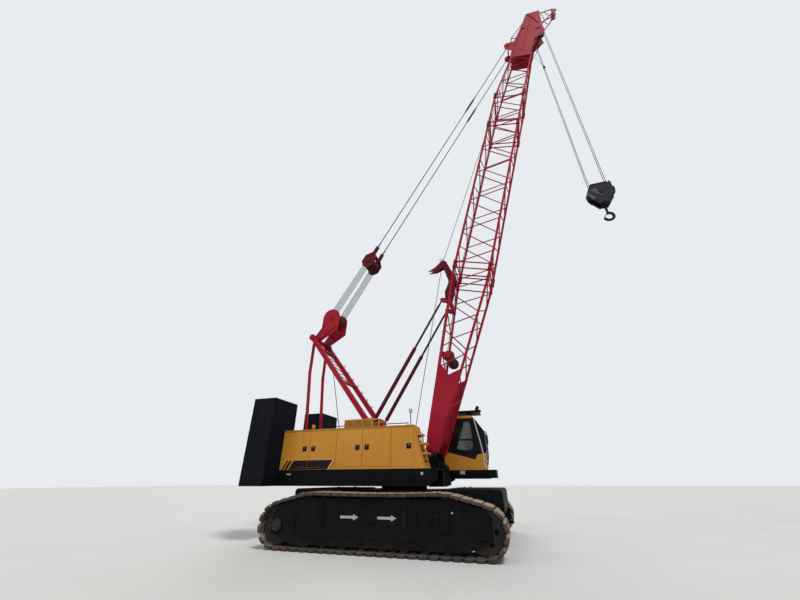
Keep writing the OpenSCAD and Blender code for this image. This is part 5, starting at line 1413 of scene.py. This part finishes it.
def trimFrame(side):
    # what is welded, bolted and painted on one track frame's outer side
    form = Form()
    face = base["face"]
    onSide(form, side, face, -2.5, 2.5, base["ledgeZ"] - 0.012, base["ledgeZ"] + 0.012, 0, 0.02, 0.004)
    onSide(form, side, face, -2.05, 2.05, 1.236, 1.256, 0, 0.022, 0.004)
    # box section's ribs, a cover with louvres, a slot, and pockets round the adjuster
    for x in (-2.35, 2.5):
        onSide(form, side, face, x - 0.012, x + 0.012, 0.42, 1.0, 0, 0.02, 0.003)
    for x in base["pads"]:
        onSide(form, side, base["padFace"], x - 0.085, x + 0.085, 0.59, 1.0, -0.001, 0.008, 0.003)
    for k in range(6):
        z = 0.755 + k * 0.03
        louvre(form, side, face, z, 1.6, 1.83, 0.018, -0.002)
        louvre(form, side, base["padFace"] + 0.008, z, 1.9, 2.05, 0.012, -0.002)
    form.window(0.8, 0.58, 0.98, 1.06, 0.03, *flank(side, face, 0.001, 0.012), "y", 0.003)
    # grab loop, step and grease point covers
    for x in (-2.02, -0.25, 0.25):
        form.pipe(bent([(x - 0.09, side * face, 1.14), (x - 0.09, side * (face + 0.024), 1.14),
            (x + 0.09, side * (face + 0.024), 1.14), (x + 0.09, side * face, 1.14)], 0.02), 0.009, 6)
    onSide(form, side, base["stepFace"], -0.11, 0.11, 0.75, 0.86, -0.001, 0.007, 0.003)
    form.coat = 1
    for x0, x1 in base["arrows"]:
        z = base["arrowZ"]
        form.prism([(x0, z - 0.03), (x1 - 0.15, z - 0.03), (x1 - 0.15, z - 0.072), (x1, z), (x1 - 0.15, z + 0.072),
            (x1 - 0.15, z + 0.03), (x0, z + 0.03)], *flank(side, face, 0, 0.0016))
    hub(form, side, face, [(0.026, 0), (0.026, 0.004)], (2.17, 0, 0.98), 14)
    # painted shade: a thin dark rubber-coloured sheet fills the slot's frame, standing for the slot's shaded inside
    form.coat = 2
    onSide(form, side, face, 0.832, 0.948, 0.612, 1.028, 0, 0.0015, 0)
    # turned hub rings, the rear one scuffed
    for x, form.coat in ((-base["wheel"], 3), (base["wheel"], 0)):
        hub(form, side, base["capFace"], [(0.15, -0.002), (0.15, 0.012), (0.135, 0.014), (0.128, 0.004),
            (0.07, 0.004), (0.06, 0.02), (0.03, 0.022)], (x, 0, base["wheelZ"]), 40)
    form.coat = 0
    for i in range(8):
        hub(form, side, base["rollerFace"], [(0.042, -0.002), (0.042, 0.006), (0.02, 0.01)],
            ((i - 3.5) * base["roller"], 0, base["rollerZ"]), 16)
    form.close("rightFrameTrim" if side < 0 else "leftFrameTrim", ["frameBlack", "greyPlate", "rubber",
        "scuffedSteel"], "undercarriage", "black_paint")


for side in (-1, 1):
    trimFrame(side)


def boltFrames():
    spots, small = [], []
    for side in (-1, 1):
        out = (0, side, 0)
        for x in (-base["wheel"], base["wheel"]):
            spots += boltCircle((x, side * (base["capFace"] + 0.003), base["wheelZ"]), 0.1, 12, side, 0.5, True)
        for x in base["pads"]:
            for z in (0.62, 0.72, 0.87, 0.97):
                for step in (-0.097, 0.097):
                    small.append(((x + step, side * base["padFace"], z), (1, 0, 0), out))
        small += line((-2.0, side * (base["face"] + 0.001), 1.2), (2.0, side * (base["face"] + 0.001), 1.2), 15, out)
        for i in range(8):
            x = (i - 3.5) * base["roller"]
            for dx in (-0.075, 0.075):
                small.append(((x + dx, side * base["face"], base["rollerZ"]), (1, 0, 0), out))
        for x, z in ((0.815, 0.6), (0.965, 0.6), (0.815, 1.04), (0.965, 1.04)):
            small.append(((x, side * (base["face"] + 0.012), z), (1, 0, 0), out))
    strew("hubBolts", spots, smallBolt, "frameBlack", "undercarriage", "black_paint")
    strew("frameBolts", small, midBolt, "frameBlack", "undercarriage", "black_paint")


boltFrames()


def trimCarbody():
    form = Form()
    # travel drives with their covers on the inner sides, and rigid pipes from the centre body to them
    for side in (-1, 1):
        inner = base["driveFace"]
        hub(form, side, inner, [(0.3, 0.01), (0.3, -0.05), (0.24, -0.07), (0.22, -0.26), (0.16, -0.3), (0.15, -0.42),
            (0.06, -0.44)], (-base["wheel"], 0, base["wheelZ"]), 36)
        for k in (0, 1):
            form.pipe(bent([(-base["wheel"] + 0.05 + k * 0.08, side * (inner - 0.38), base["wheelZ"] + 0.14),
                (-2.6, side * (inner - 0.38), 0.84 + k * 0.05), (-1.3, side * (inner - 0.34), 0.84 + k * 0.05),
                (-1.12, side * 1.3, 0.84 + k * 0.05)], 0.08), 0.016, 8)
        # stiffeners on the beams
        for x in (-0.86, 0.86):
            for y in (1.5, 1.9):
                for way in (-1, 1):
                    form.prism([(x + way * 0.238, 0.6), (x + way * 0.3, 0.66), (x + way * 0.3, 0.98),
                        (x + way * 0.238, 1.04)], side * y - 0.008, side * y + 0.008, "y", 0.002)
    # lifting eyes of the centre body's weights
    for x in (-2.21, 2.21):
        for y in (-0.7, 0.7):
            form.band(evenly(x, [(0.05, 1.478), (0.044, 1.505), (0.01, 1.528)]),
                evenly(x, [(0.024, 1.488), (0.02, 1.503), (0.01, 1.512)]), y - 0.014, y + 0.014, "y", 0.002)
    form.close("carbodyTrim", ["frameBlack"], "undercarriage", "black_paint")
    spots = []
    for side in (-1, 1):
        spots += boltCircle((-base["wheel"], side * (base["driveFace"] - 0.05), base["wheelZ"]), 0.27, 14, -side, 0,
            True)
    strew("driveBolts", spots, midBolt, "wheelSteel", "undercarriage", "wheel_steel")
    # bolt circle of the slewing ring
    ring = []
    for k in range(48):
        a = 2 * math.pi * k / 48
        ring.append(((1.02 * math.cos(a), 1.02 * math.sin(a), 1.2), (math.cos(a), math.sin(a), 0), (0, 0, 1)))
    strew("ringBolts", ring, midBolt, "ringSteel", "undercarriage", "ring_steel")


trimCarbody()
print("undercarriage done")

# boom

boom = {
    "joints": (7.606, 16.462, 18.762), "halfDepth": 0.7485, "lugOut": 0.782, "headFace": 0.405,
    # round doublers on the head's outer faces: along, across, radius, number of bolts
    "doublers": ((2.55, -0.84, 0.17, 10), (2.8, 0.08, 0.11, 8), (1.2, 0.8, 0.12, 6), (3.9, -0.3, 0.1, 6)),
    # stiffening bars on the head's outer faces, in the same measures
    "bars": (((0.1, -0.62), (2.2, -1.06)), ((0.2, 0.4), (2.9, 0.18)), ((0.4, -0.1), (4.3, -0.28)),
             ((3.1, -0.8), (4.35, 0.02))),
    "drum": (3.56, 0.18), "cableN": 0.812, "cableY": 0.64,
}


def trimBoom():
    form = Form()
    tip, face, out = rig["tip"], boom["headFace"], boom["lugOut"]
    pinPlaces = [(joint + step, n) for joint in boom["joints"] for n in (-boom["halfDepth"], boom["halfDepth"])
        for step in (-0.095, 0.095)]
    for side in (-1, 1):
        for s, n, r, count in boom["doublers"]:
            hub(form, side, face, [(r, -0.001), (r, 0.012), (r - 0.008, 0.018), (r * 0.5, 0.018), (r * 0.5, 0.034),
                (r * 0.42, 0.042)], boomPoint(tip + s, n), 28)
        for (s0, n0), (s1, n1) in boom["bars"]:
            stiffener(form, boomPoint(tip + s0, n0), boomPoint(tip + s1, n1), flank(side, face, -0.001, 0.032))
        # keepers over the joint pins
        for s, n in pinPlaces:
            hub(form, side, out, [(0.058, -0.004), (0.058, 0.012), (0.044, 0.018)], boomPoint(s, n), 14)
        # conduit with clamps up the rear chord
        n, y = boom["cableN"], side * boom["cableY"]
        form.coat = 1
        form.pipe([boomPoint(0.5, 0.29, y), boomPoint(7.1, n, y), boomPoint(18.7, n, y)], 0.014, 6)
        form.coat = 2
        for k in range(12):
            s = 7.9 + k * 0.92
            form.pipe([boomPoint(s - 0.02, n, y), boomPoint(s + 0.02, n, y)], 0.024, 8)
            form.pipe([boomPoint(s, n, y), boomPoint(s, boom["halfDepth"], side * 0.7)], 0.009, 6)
        form.coat = 0
    # ring on the rope guide's horn, and its rollers' end caps
    form.coat = 3
    ring = [boomPoint(8.2 + 0.075 * math.cos(a), 1.63 + 0.075 * math.sin(a), 0.0)
            for a in (2 * math.pi * k / 16 for k in range(17))]
    form.pipe(ring, 0.014, 8)
    for s, n in rig["rollers"]:
        for side in (-1, 1):
            hub(form, side, 0, [(0.05, 0.119), (0.05, 0.13), (0.03, 0.134)], boomPoint(s, n), 16)
    form.block(*[tuple(boomPoint(8.13, 1.575) + Vector(d)) for d in ((-0.02, -0.09, -0.02), (0.02, 0.09, 0.02))])
    # limit switch under the head
    form.coat = 2
    form.block(*[tuple(boomPoint(tip - 0.1, -0.72, -0.385) + Vector(d))
        for d in ((-0.05, -0.03, -0.09), (0.05, 0.03, 0.05))], 0.01)
    form.close("boomTrim", ["redPaint", "rubber", "rodSteel", "darkRedPaint"], "boom", "red_paint")
    spots, pins = [], []
    for side in (-1, 1):
        for s, n, r, count in boom["doublers"]:
            for k in range(count):
                a = 2 * math.pi * k / count
                spot = boomPoint(tip + s + (r - 0.03) * math.cos(a), n + (r - 0.03) * math.sin(a),
                    side * (face + 0.017))
                spots.append((tuple(spot), (1, 0, 0), (0, side, 0)))
        pins += [(tuple(boomPoint(s, n, side * (out + 0.017))), (1, 0, 0), (0, side, 0)) for s, n in pinPlaces]
    strew("headBolts", spots, midBolt, "redPaint", "boom", "red_paint")
    strew("jointPins", pins, bigBolt, "rodSteel", "boom", "rod_steel")


trimBoom()


def wind(name, place, radius, half, rope, body):
    # rope wound on a drum, from its +y end
    mesh = pointMesh(name, [((place[0], half, place[1]), (1, 0, 0), (0, 0, 1))])
    turns = 2 * half / (rope * 2.06)
    windings.cook(name, mesh, {"Finish": finishes["ropeSteel"], "Turns": turns, "Drum": radius + rope * 0.92,
        "Length": 2 * half, "Rope": rope}, body, "rope_steel", 60)


drumPlace = boomPoint(*boom["drum"])
wind("boomDrumRope", (drumPlace.x, drumPlace.z), 0.15, 0.5, rig["hoistRope"], "boom")


def pinFoot():
    # foot pins with keepers
    form = Form()
    x, z = rig["foot"]
    for side in (-1, 1):
        hub(form, side, 0.8, [(0.085, -0.001), (0.085, 0.02), (0.07, 0.028), (0.03, 0.03)], (x, 0, z), 24)
        onSide(form, side, 0.8, x - 0.11, x + 0.11, z + 0.06, z + 0.1, 0, 0.014)
    form.close("footPins", ["rodSteel"], "upper", "rod_steel")


pinFoot()
print("boom done")

# hook block

block = {
    "x": rig["head"][0], "z": rig["block"], "face": 0.19,
    # faded stripes on the cheeks, as corners about the block's middle line
    "stripes": (((8.9, 13.02), (9.2, 12.68), (9.05, 12.56), (8.74, 12.91)),
                ((8.57, 12.85), (8.81, 12.5), (8.68, 12.4), (8.585, 12.62))),
    # latch's arms: distance behind the middle, half gap, height, radius
    "latch": ((0.02, 0.03, 11.69, 0.016), (0.11, 0.03, 11.56, 0.014), (0.175, 0.028, 11.49, 0.01)),
}


def trimBlock():
    form = Form()
    x, z, face = block["x"], block["z"], block["face"]
    for side in (-1, 1):
        form.coat = 0
        hub(form, side, face, [(0.1, -0.001), (0.1, 0.012), (0.085, 0.018), (0.06, 0.018), (0.05, 0.04), (0.03, 0.044)],
            (x, 0, z), 28)
        onSide(form, side, face, x - 0.14, x + 0.14, z + 0.06, z + 0.1, 0, 0.02, 0.003)
        # rims of the cheeks
        onSide(form, side, face, x - 0.3, x + 0.3, z + 0.46, z + 0.49, 0, 0.012, 0.003)
        onSide(form, side, face, x - 0.16, x + 0.16, z - 0.6, z - 0.57, 0, 0.012, 0.003)
        form.coat = 1
        for stripe in block["stripes"]:
            form.prism(stripe, *flank(side, face, -0.0002, 0.0016))
    form.coat = 0
    # rope guards on top, tie bolts between the cheeks, crosshead pins
    for dx in (0.3, 0.44):
        guard = [(x + dx + a, z + b) for a, b in ((-0.05, 0.36), (0.04, 0.3), (0.05, 0.46), (0, 0.56), (-0.04, 0.54))]
        for low, high in ((-0.17, -0.13), (0.13, 0.17)):
            form.prism(guard, low, high, "y", 0.006)
    for px, pz in ((-0.36, 0.36), (0.36, 0.36), (-0.42, -0.2), (0.42, -0.2), (0.0, 0.46)):
        form.pipe([(x + px, -0.205, z + pz), (x + px, 0.205, z + pz)], 0.02, 10)
    for side in (-1, 1):
        hub(form, side, face, [(0.06, -0.001), (0.06, 0.02), (0.04, 0.026)], (x, 0, z - 0.5))
    form.close("blockTrim", ["blockPaint", "fadedStripe"], "block_body", "block_paint")
    spots = []
    for side in (-1, 1):
        spots += boltCircle((x, side * (face + 0.016), z), 0.082, 8, side, 0.5)
        for px, pz in ((-0.44, 0.05), (0.44, 0.05), (-0.3, 0.42), (0.3, 0.42), (-0.28, -0.42), (0.28, -0.42)):
            spots.append(((x + px, side * face, z + pz), (1, 0, 0), (0, side, 0)))
    strew("blockBolts", spots, midBolt, "blockPaint", "block_body", "block_paint")
    # safety latch across the hook's mouth
    latch = Form()
    radii = [row[3] for row in block["latch"]]
    for side in (1, -1):
        latch.pipe([(x - back, side * y, high) for back, y, high, _ in block["latch"]], radii, 8)
    latch.pipe([(x - 0.02, -0.06, 11.69), (x - 0.02, 0.06, 11.69)], 0.018, 10)
    latch.pipe([(x - 0.175, -0.035, 11.49), (x - 0.175, 0.035, 11.49)], 0.012, 8)
    latch.close("hookLatch", ["rodSteel"], "hook_body", "block_paint")


trimBlock()
print("hook block done")

# gantry, weights, winches

gear = {
    "strutFoot": (-0.18, 2.3), "strutHead": (-4.02, 7.36), "strutOut": 0.81, "stayFoot": (-3.8, 2.14),
    "plateOut": 0.41, "weightRear": -5.05, "weightIn": 1.0, "weightOut": 2.42, "weightTop": 4.39,
    "blockHigh": 0.518, "blockFoot": 1.8,
    # x, z, radius, half length and rope radius
    "drums": ((0.46, 2.48, 0.19, 0.44, 0.0135), (-1.05, 2.48, 0.21, 0.48, 0.0135), (-2.25, 2.44, 0.18, 0.44, 0.0125)),
}


def trimGantry():
    form = Form()
    face, out = gear["plateOut"], gear["strutOut"]
    (gx, gz), (fx, fz), (hx, hz) = rig["gantry"], gear["strutFoot"], gear["strutHead"]
    for side in (-1, 1):
        hub(form, side, face, [(0.16, -0.001), (0.16, 0.014), (0.15, 0.02), (0.085, 0.02), (0.08, 0.045), (0.05, 0.05)],
            (gx, 0, gz), 32)
        hub(form, side, out, [(0.1, 0), (0.1, 0.02), (0.08, 0.026)], (fx, 0, fz), 24)
        hub(form, side, out, [(0.12, 0), (0.12, 0.015), (0.1, 0.022), (0.05, 0.04)], (hx, 0, hz), 24)
        # stiffeners along the head plates
        for a, b, c, d in ((-0.1, 0.12, -0.28, -0.3), (0.16, -0.02, 0.3, -0.45)):
            stiffener(form, Vector((hx + a, 0, hz + b)), Vector((gx + c, 0, gz + d)), flank(side, face, -0.001, 0.03))
        # clevis plates at the backstays' feet and a keeper for each pin
        x, z = gear["stayFoot"]
        for y in (0.485, 0.625):
            form.prism(evenly(x, [(0.09, 2.04), (0.07, z + 0.1), (0.03, z + 0.16)]), side * y - 0.01, side * y + 0.01,
                "y", 0.003)
        hub(form, side, 0, [(0.045, 0.46), (0.045, 0.65), (0.03, 0.655)], (x, 0, z + 0.06), 18)
        # rungs up one leg
        if side > 0:
            way = (Vector((hx, hz)) - Vector(gear["strutFoot"])).normalized()
            for k in range(12):
                p = Vector(gear["strutFoot"]) + way * (0.6 + 0.4 * k)
                near, far = (Vector((p.x - d * way.y, 0, p.y + d * way.x)) for d in (-0.09, -0.17))
                form.pipe(bent([near + Vector((0, 0.7, 0)), far + Vector((0, 0.7, 0)), far + Vector((0, 0.79, 0)),
                    near + Vector((0, 0.79, 0))], 0.02), 0.01, 6)
    # cover bars over the sheaves
    for u, w in ((0.0, 0.36), (-0.25, 0.25), (0.2, 0.3)):
        form.pipe([fallsPoint(u, w, -0.4), fallsPoint(u, w, 0.4)], 0.018, 10)
    form.close("gantryTrim", ["redPaint"], "upper", "red_paint")
    spots = []
    for side in (-1, 1):
        spots += boltCircle((gx, side * (face + 0.019), gz), 0.12, 10, side)
    strew("gantryBolts", spots, midBolt, "redPaint", "upper", "red_paint")
    # bridle's pins, keepers and edge bolts
    form = Form()
    for side in (-1, 1):
        hub(form, side, 0, [(0.13, 0.414), (0.13, 0.43), (0.11, 0.438), (0.05, 0.44), (0.045, 0.46)],
            fallsPoint(rig["falls"]), 28)
        for u, w in ((-0.24, 0.0), (-0.1, 0.24), (-0.1, -0.24), (0.22, 0.25), (0.22, -0.25), (0.44, 0.0)):
            hub(form, side, 0, [(0.026, 0.413), (0.026, 0.43), (0.018, 0.434)], fallsPoint(rig["falls"] + u, w), 6)
        corners = [fallsPoint(rig["falls"] + u, w) for u, w in ((-0.1, 0.05), (0.1, 0.05), (0.1, 0.09), (-0.1, 0.09))]
        form.prism([(p.x, p.z) for p in corners], *flank(side, 0.414, 0, 0.012), "y", 0.002)
    form.close("bridleTrim", ["darkRedPaint"], "boom", "dark_red_paint")


trimGantry()


def trimWeights():
    form = Form()
    top, foot = gear["weightTop"], gear["blockFoot"]
    for side in (-1, 1):
        middle = side * (gear["weightIn"] + gear["weightOut"]) / 2
        for x in (-4.85, -4.35):
            for y in (middle - 0.45, middle + 0.45):
                form.band(evenly(x, [(0.05, top - 0.002), (0.05, top + 0.012)]),
                    evenly(x, [(0.03, top), (0.03, top + 0.009)]), y - 0.05, y + 0.05, "y", 0.001)
        # tie rods with nuts down the inner side, casting marks and lifting pockets' lips
        for x in (-4.82, -4.38):
            inner = side * (gear["weightIn"] - 0.022)
            form.pipe([(x, inner, foot + 0.04), (x, inner, top - 0.03)], 0.018, 8)
            for z in (foot + 0.08, top - 0.07):
                form.turned([(0.034, -0.018), (0.034, 0.018)], (x, inner, z), "z", 6)
            for k in range(1, 5):
                z = foot + k * gear["blockHigh"]
                onSide(form, side, gear["weightIn"], x - 0.05, x + 0.05, z - 0.03, z + 0.03, -0.022, 0, 0.004)
        for k in range(5):
            z = foot + (k + 0.5) * gear["blockHigh"]
            for y in (middle - 0.34, middle + 0.34):
                form.turned([(0.045, 0.001), (0.045, -0.006), (0.028, -0.008)], (gear["weightRear"], y, z), "x", 16)
            onSide(form, side, gear["weightOut"], -4.75, -4.45, z - 0.03, z + 0.03, 0, 0.004, 0.002)
    form.close("weightTrim", ["weightPaint"], "upper", "weight_paint")
    form = Form()
    for side in (-1, 1):
        onSide(form, side, gear["weightOut"], -5.0, -4.9, 1.62, 1.7, 0, 0.006, 0.002)
        for y in (0.3, 0.9, 1.5, 2.1):
            form.block((-5.056, side * y - 0.012, 1.57), (-5.048, side * y + 0.012, 1.79), 0.002)
    form.block((-5.058, -0.28, 1.62), (-5.049, 0.28, 1.74), 0.003)
    for y in (-1.9, 1.9):
        form.turned([(0.055, -5.049), (0.055, -5.054), (0.045, -5.057)], (0, y, 1.68), "x", 20)
    form.coat = 1
    for y in (-1.9, 1.9):
        form.turned([(0.044, -5.056), (0.03, -5.058), (0.01, -5.0585)], (0, y, 1.68), "x", 20)
    form.close("trayTrim", ["blackPaint", "redFilm"], "upper", "black_paint")


trimWeights()


def trimWinches():
    form = Form()
    spots = []
    for x, z, _, half, _ in gear["drums"]:
        out = half + 0.049
        for side in (-1, 1):
            hub(form, side, out, [(0.15, -0.001), (0.15, 0.02), (0.1, 0.03), (0.09, 0.07), (0.03, 0.075)], (x, 0, z),
                28)
            spots += boltCircle((x, side * (out + 0.019), z), 0.125, 8, side)
            for dx in (-0.15, 0.15):
                onSide(form, side, out, x + dx - 0.02, x + dx + 0.02, 2.04, 2.09, -0.02, 0.02, 0.003)
        # drum motor on the left
        form.turned([(0.09, half + 0.12), (0.1, half + 0.13), (0.1, half + 0.21), (0.07, half + 0.22),
            (0.07, half + 0.25)], (x, 0, z), "y", 24)
    form.close("winchTrim", ["winchPaint"], "upper", "winch_paint")
    strew("winchBolts", spots, midBolt, "winchPaint", "upper", "winch_paint")
    for k, (x, z, r, half, rope) in enumerate(gear["drums"]):
        wind("winchRope%d" % (k + 1), (x, z), r, half - 0.045, rope, "upper")


trimWinches()
print("gantry, weights and winches done")

# engine, treads and louvres


def repeat(name, starts, part, finish, count, step, body, slot):
    # rows of one part, each row from its own start
    mesh = pointMesh(name, [(start, (1, 0, 0), (0, 0, 1)) for start in starts])
    return rows.cook(name, mesh, {"Part": part, "Finish": finishes[finish], "Count": count, "StepX": step[0],
        "StepY": step[1], "StepZ": step[2]}, body, slot)


engine = {"x0": -2.95, "x1": -1.45, "y0": -1.4, "deck": 2.8, "top": 3.0, "cylinders": 6}


def trimEngine():
    form = Form()
    x0, x1, side, deck, top = (engine[k] for k in ("x0", "x1", "y0", "deck", "top"))
    pitch = (x1 - x0 - 0.3) / engine["cylinders"]
    for k in range(engine["cylinders"]):
        # rocker covers, side covers and the pipes to the injectors
        x = x0 + 0.15 + k * pitch
        form.block((x + 0.01, side + 0.06, top - 0.005), (x + pitch - 0.01, side + 0.4, top + 0.05), 0.014)
        form.turned([(0.02, 0), (0.02, 0.02), (0.012, 0.026)], (x + pitch / 2, side + 0.23, top + 0.048), "z", 10)
        form.block((x + 0.02, side - 0.025, deck - 0.4), (x + pitch - 0.02, side + 0.002, deck - 0.12), 0.01)
        form.pipe(bent([(x + pitch / 2, side + 0.03, top - 0.06), (x + pitch / 2, side - 0.03, top - 0.06),
            (x + pitch / 2, side - 0.03, deck - 0.06)], 0.02), 0.006, 6)
    # sump flange, fan with its hub, pulleys and alternator
    form.block((x0 + 0.05, side - 0.012, 2.3), (x1 - 0.05, side + 0.002, 2.33), 0.004)
    form.coat = 1
    for z, y, r in ((2.55, -1.17, 0.11), (2.3, -1.1, 0.09), (2.62, -1.36, 0.05)):
        form.turned([(r, 0), (r, 0.012), (r * 0.9, 0.02), (r, 0.028), (r, 0.04), (r * 0.4, 0.045)], (x1, y, z), "x", 24)
    for k in range(8):
        turn = Matrix.Translation((x1 + 0.07, -1.17, 2.55)) @ Matrix.Rotation(math.pi * k / 4, 4, "X")
        form.block((-0.003, 0.05, -0.045), (0.003, 0.3, 0.045), 0.002, turn @ Matrix.Rotation(0.45, 4, "Y"))
    form.turned([(0.06, 0.04), (0.06, 0.09), (0.03, 0.1)], (x1, -1.17, 2.55), "x", 18)
    form.coat = 2
    # oil and fuel filters, exhaust manifold with its pipe to the air box
    for k in range(3):
        form.turned([(0.045, -0.2), (0.05, -0.19), (0.05, -0.02), (0.03, 0)],
            (x0 + 0.35 + k * 0.13, side - 0.06, 2.52), "z", 18)
    form.block((x0 + 0.27, side - 0.1, 2.515), (x0 + 0.69, side + 0.002, 2.56), 0.006)
    form.coat = 3
    form.pipe(bent([(x0 + 0.2, side + 0.36, top - 0.04), (x0 + 0.2, side + 0.42, top + 0.06),
        (x1 - 0.3, side + 0.42, top + 0.06), (x1 - 0.3, side + 0.42, top + 0.2)], 0.06), 0.045, 14)
    form.close("engineTrim", ["enginePaint", "rubber", "boltSteel", "ringSteel"], "upper", "engine_paint")
    spots = []
    for k in range(engine["cylinders"]):
        x = x0 + 0.15 + k * pitch
        for dx in (0.045, pitch - 0.045):
            for z in (deck - 0.37, deck - 0.15):
                spots.append(((x + dx, side - 0.024, z), (1, 0, 0), (0, -1, 0)))
            for y in (0.09, 0.37):
                spots.append(((x + dx, side + y, top + 0.049), (1, 0, 0), (0, 0, 1)))
    strew("engineBolts", spots, smallBolt, "boltSteel", "upper", "engine_paint")


trimEngine()


def layTreads():
    # raised bars on the walkways of the deck, ribs on the hoods' roofs
    treads = []
    for name, turn in (("treadBar", math.pi / 4), ("treadBarCrossed", -math.pi / 4)):
        bar = Form()
        bar.block((-0.018, -0.004, -0.001), (0.018, 0.004, 0.004), 0, Matrix.Rotation(turn, 4, "Z"))
        treads.append(pattern(bar, name))
    areas = {"rear": (-4.08, -2.78, -0.8, 0.8), "walk": (0.4, 1.2, 0.9, 1.56), "front": (0.9, 1.24, -0.45, 0.45)}
    for name, (x0, x1, y0, y1) in areas.items():
        for k, tread in enumerate(treads):
            starts = [(x0 + (i + k * 0.5) * 0.06, y0, 2.04) for i in range(int((x1 - x0) / 0.06))]
            repeat("%sTread%d" % (name, k + 1), starts, tread, "blackPaint", int((y1 - y0) / 0.06), (0, 0.06, 0),
                "upper", "black_paint")
    rib = Form()
    rib.block((-0.012, -0.24, -0.001), (0.012, 0.24, 0.005), 0.002)
    part = pattern(rib, "roofRib")
    repeat("leftRoofRibs", [(-3.9, 1.24, hood["top"])], part, "rubber", 41, (0.1, 0, 0), "upper", "ochre_paint")
    repeat("rightRoofRibs", [(-0.3, -1.24, hood["top"])], part, "rubber", 9, (0.1, 0, 0), "upper", "ochre_paint")
    slat = Form()
    slat.prism([(1.606, 0), (1.622, -0.006), (1.622, -0.001), (1.606, 0.022)], -0.3, 0.3, "x", 0.001)
    part = pattern(slat, "louvreSlat")
    repeat("leftLouvres", [(-3.56, 0, 2.3), (-0.55, 0, 2.3)], part, "ochrePaint", 18, (0, 0, 0.04), "upper",
        "ochre_paint")


layTreads()


def frameLouvres():
    # frames round the louvres on the left hood, and the boom's rear frame under the rope guide
    form = Form()
    for x in (-3.56, -0.55):
        form.window(x - 0.34, 2.24, x + 0.34, 3.04, 0.03, 1.606, 1.62)
    form.close("louvreFrames", ["ochrePaint"], "upper", "ochre_paint")
    form = Form()
    outline = [(6.0, 0.7), (6.06, 0.95), (6.5, 1.07), (6.95, 1.0), (7.2, 1.08), (7.5, 1.3), (7.62, 1.22),
        (7.42, 0.86), (7.2, 0.72)]
    for y in (-0.17, 0.17):
        form.prism([(p.x, p.z) for p in (boomPoint(s, n) for s, n in outline)], y - 0.008, y + 0.008, "y", 0.002)
    for s, n in ((6.12, 0.85), (6.6, 0.95), (7.05, 0.9)):
        form.pipe([boomPoint(s, n, -0.18), boomPoint(s, n, 0.18)], 0.03, 12)
    for s in (6.12, 7.15):
        form.pipe([boomPoint(s, 0.74, -0.7), boomPoint(s, 0.74, 0.7)], 0.032, 12)
    form.close("guideFrame", ["darkRedPaint"], "boom", "dark_red_paint")


frameLouvres()
print("engine and treads done")
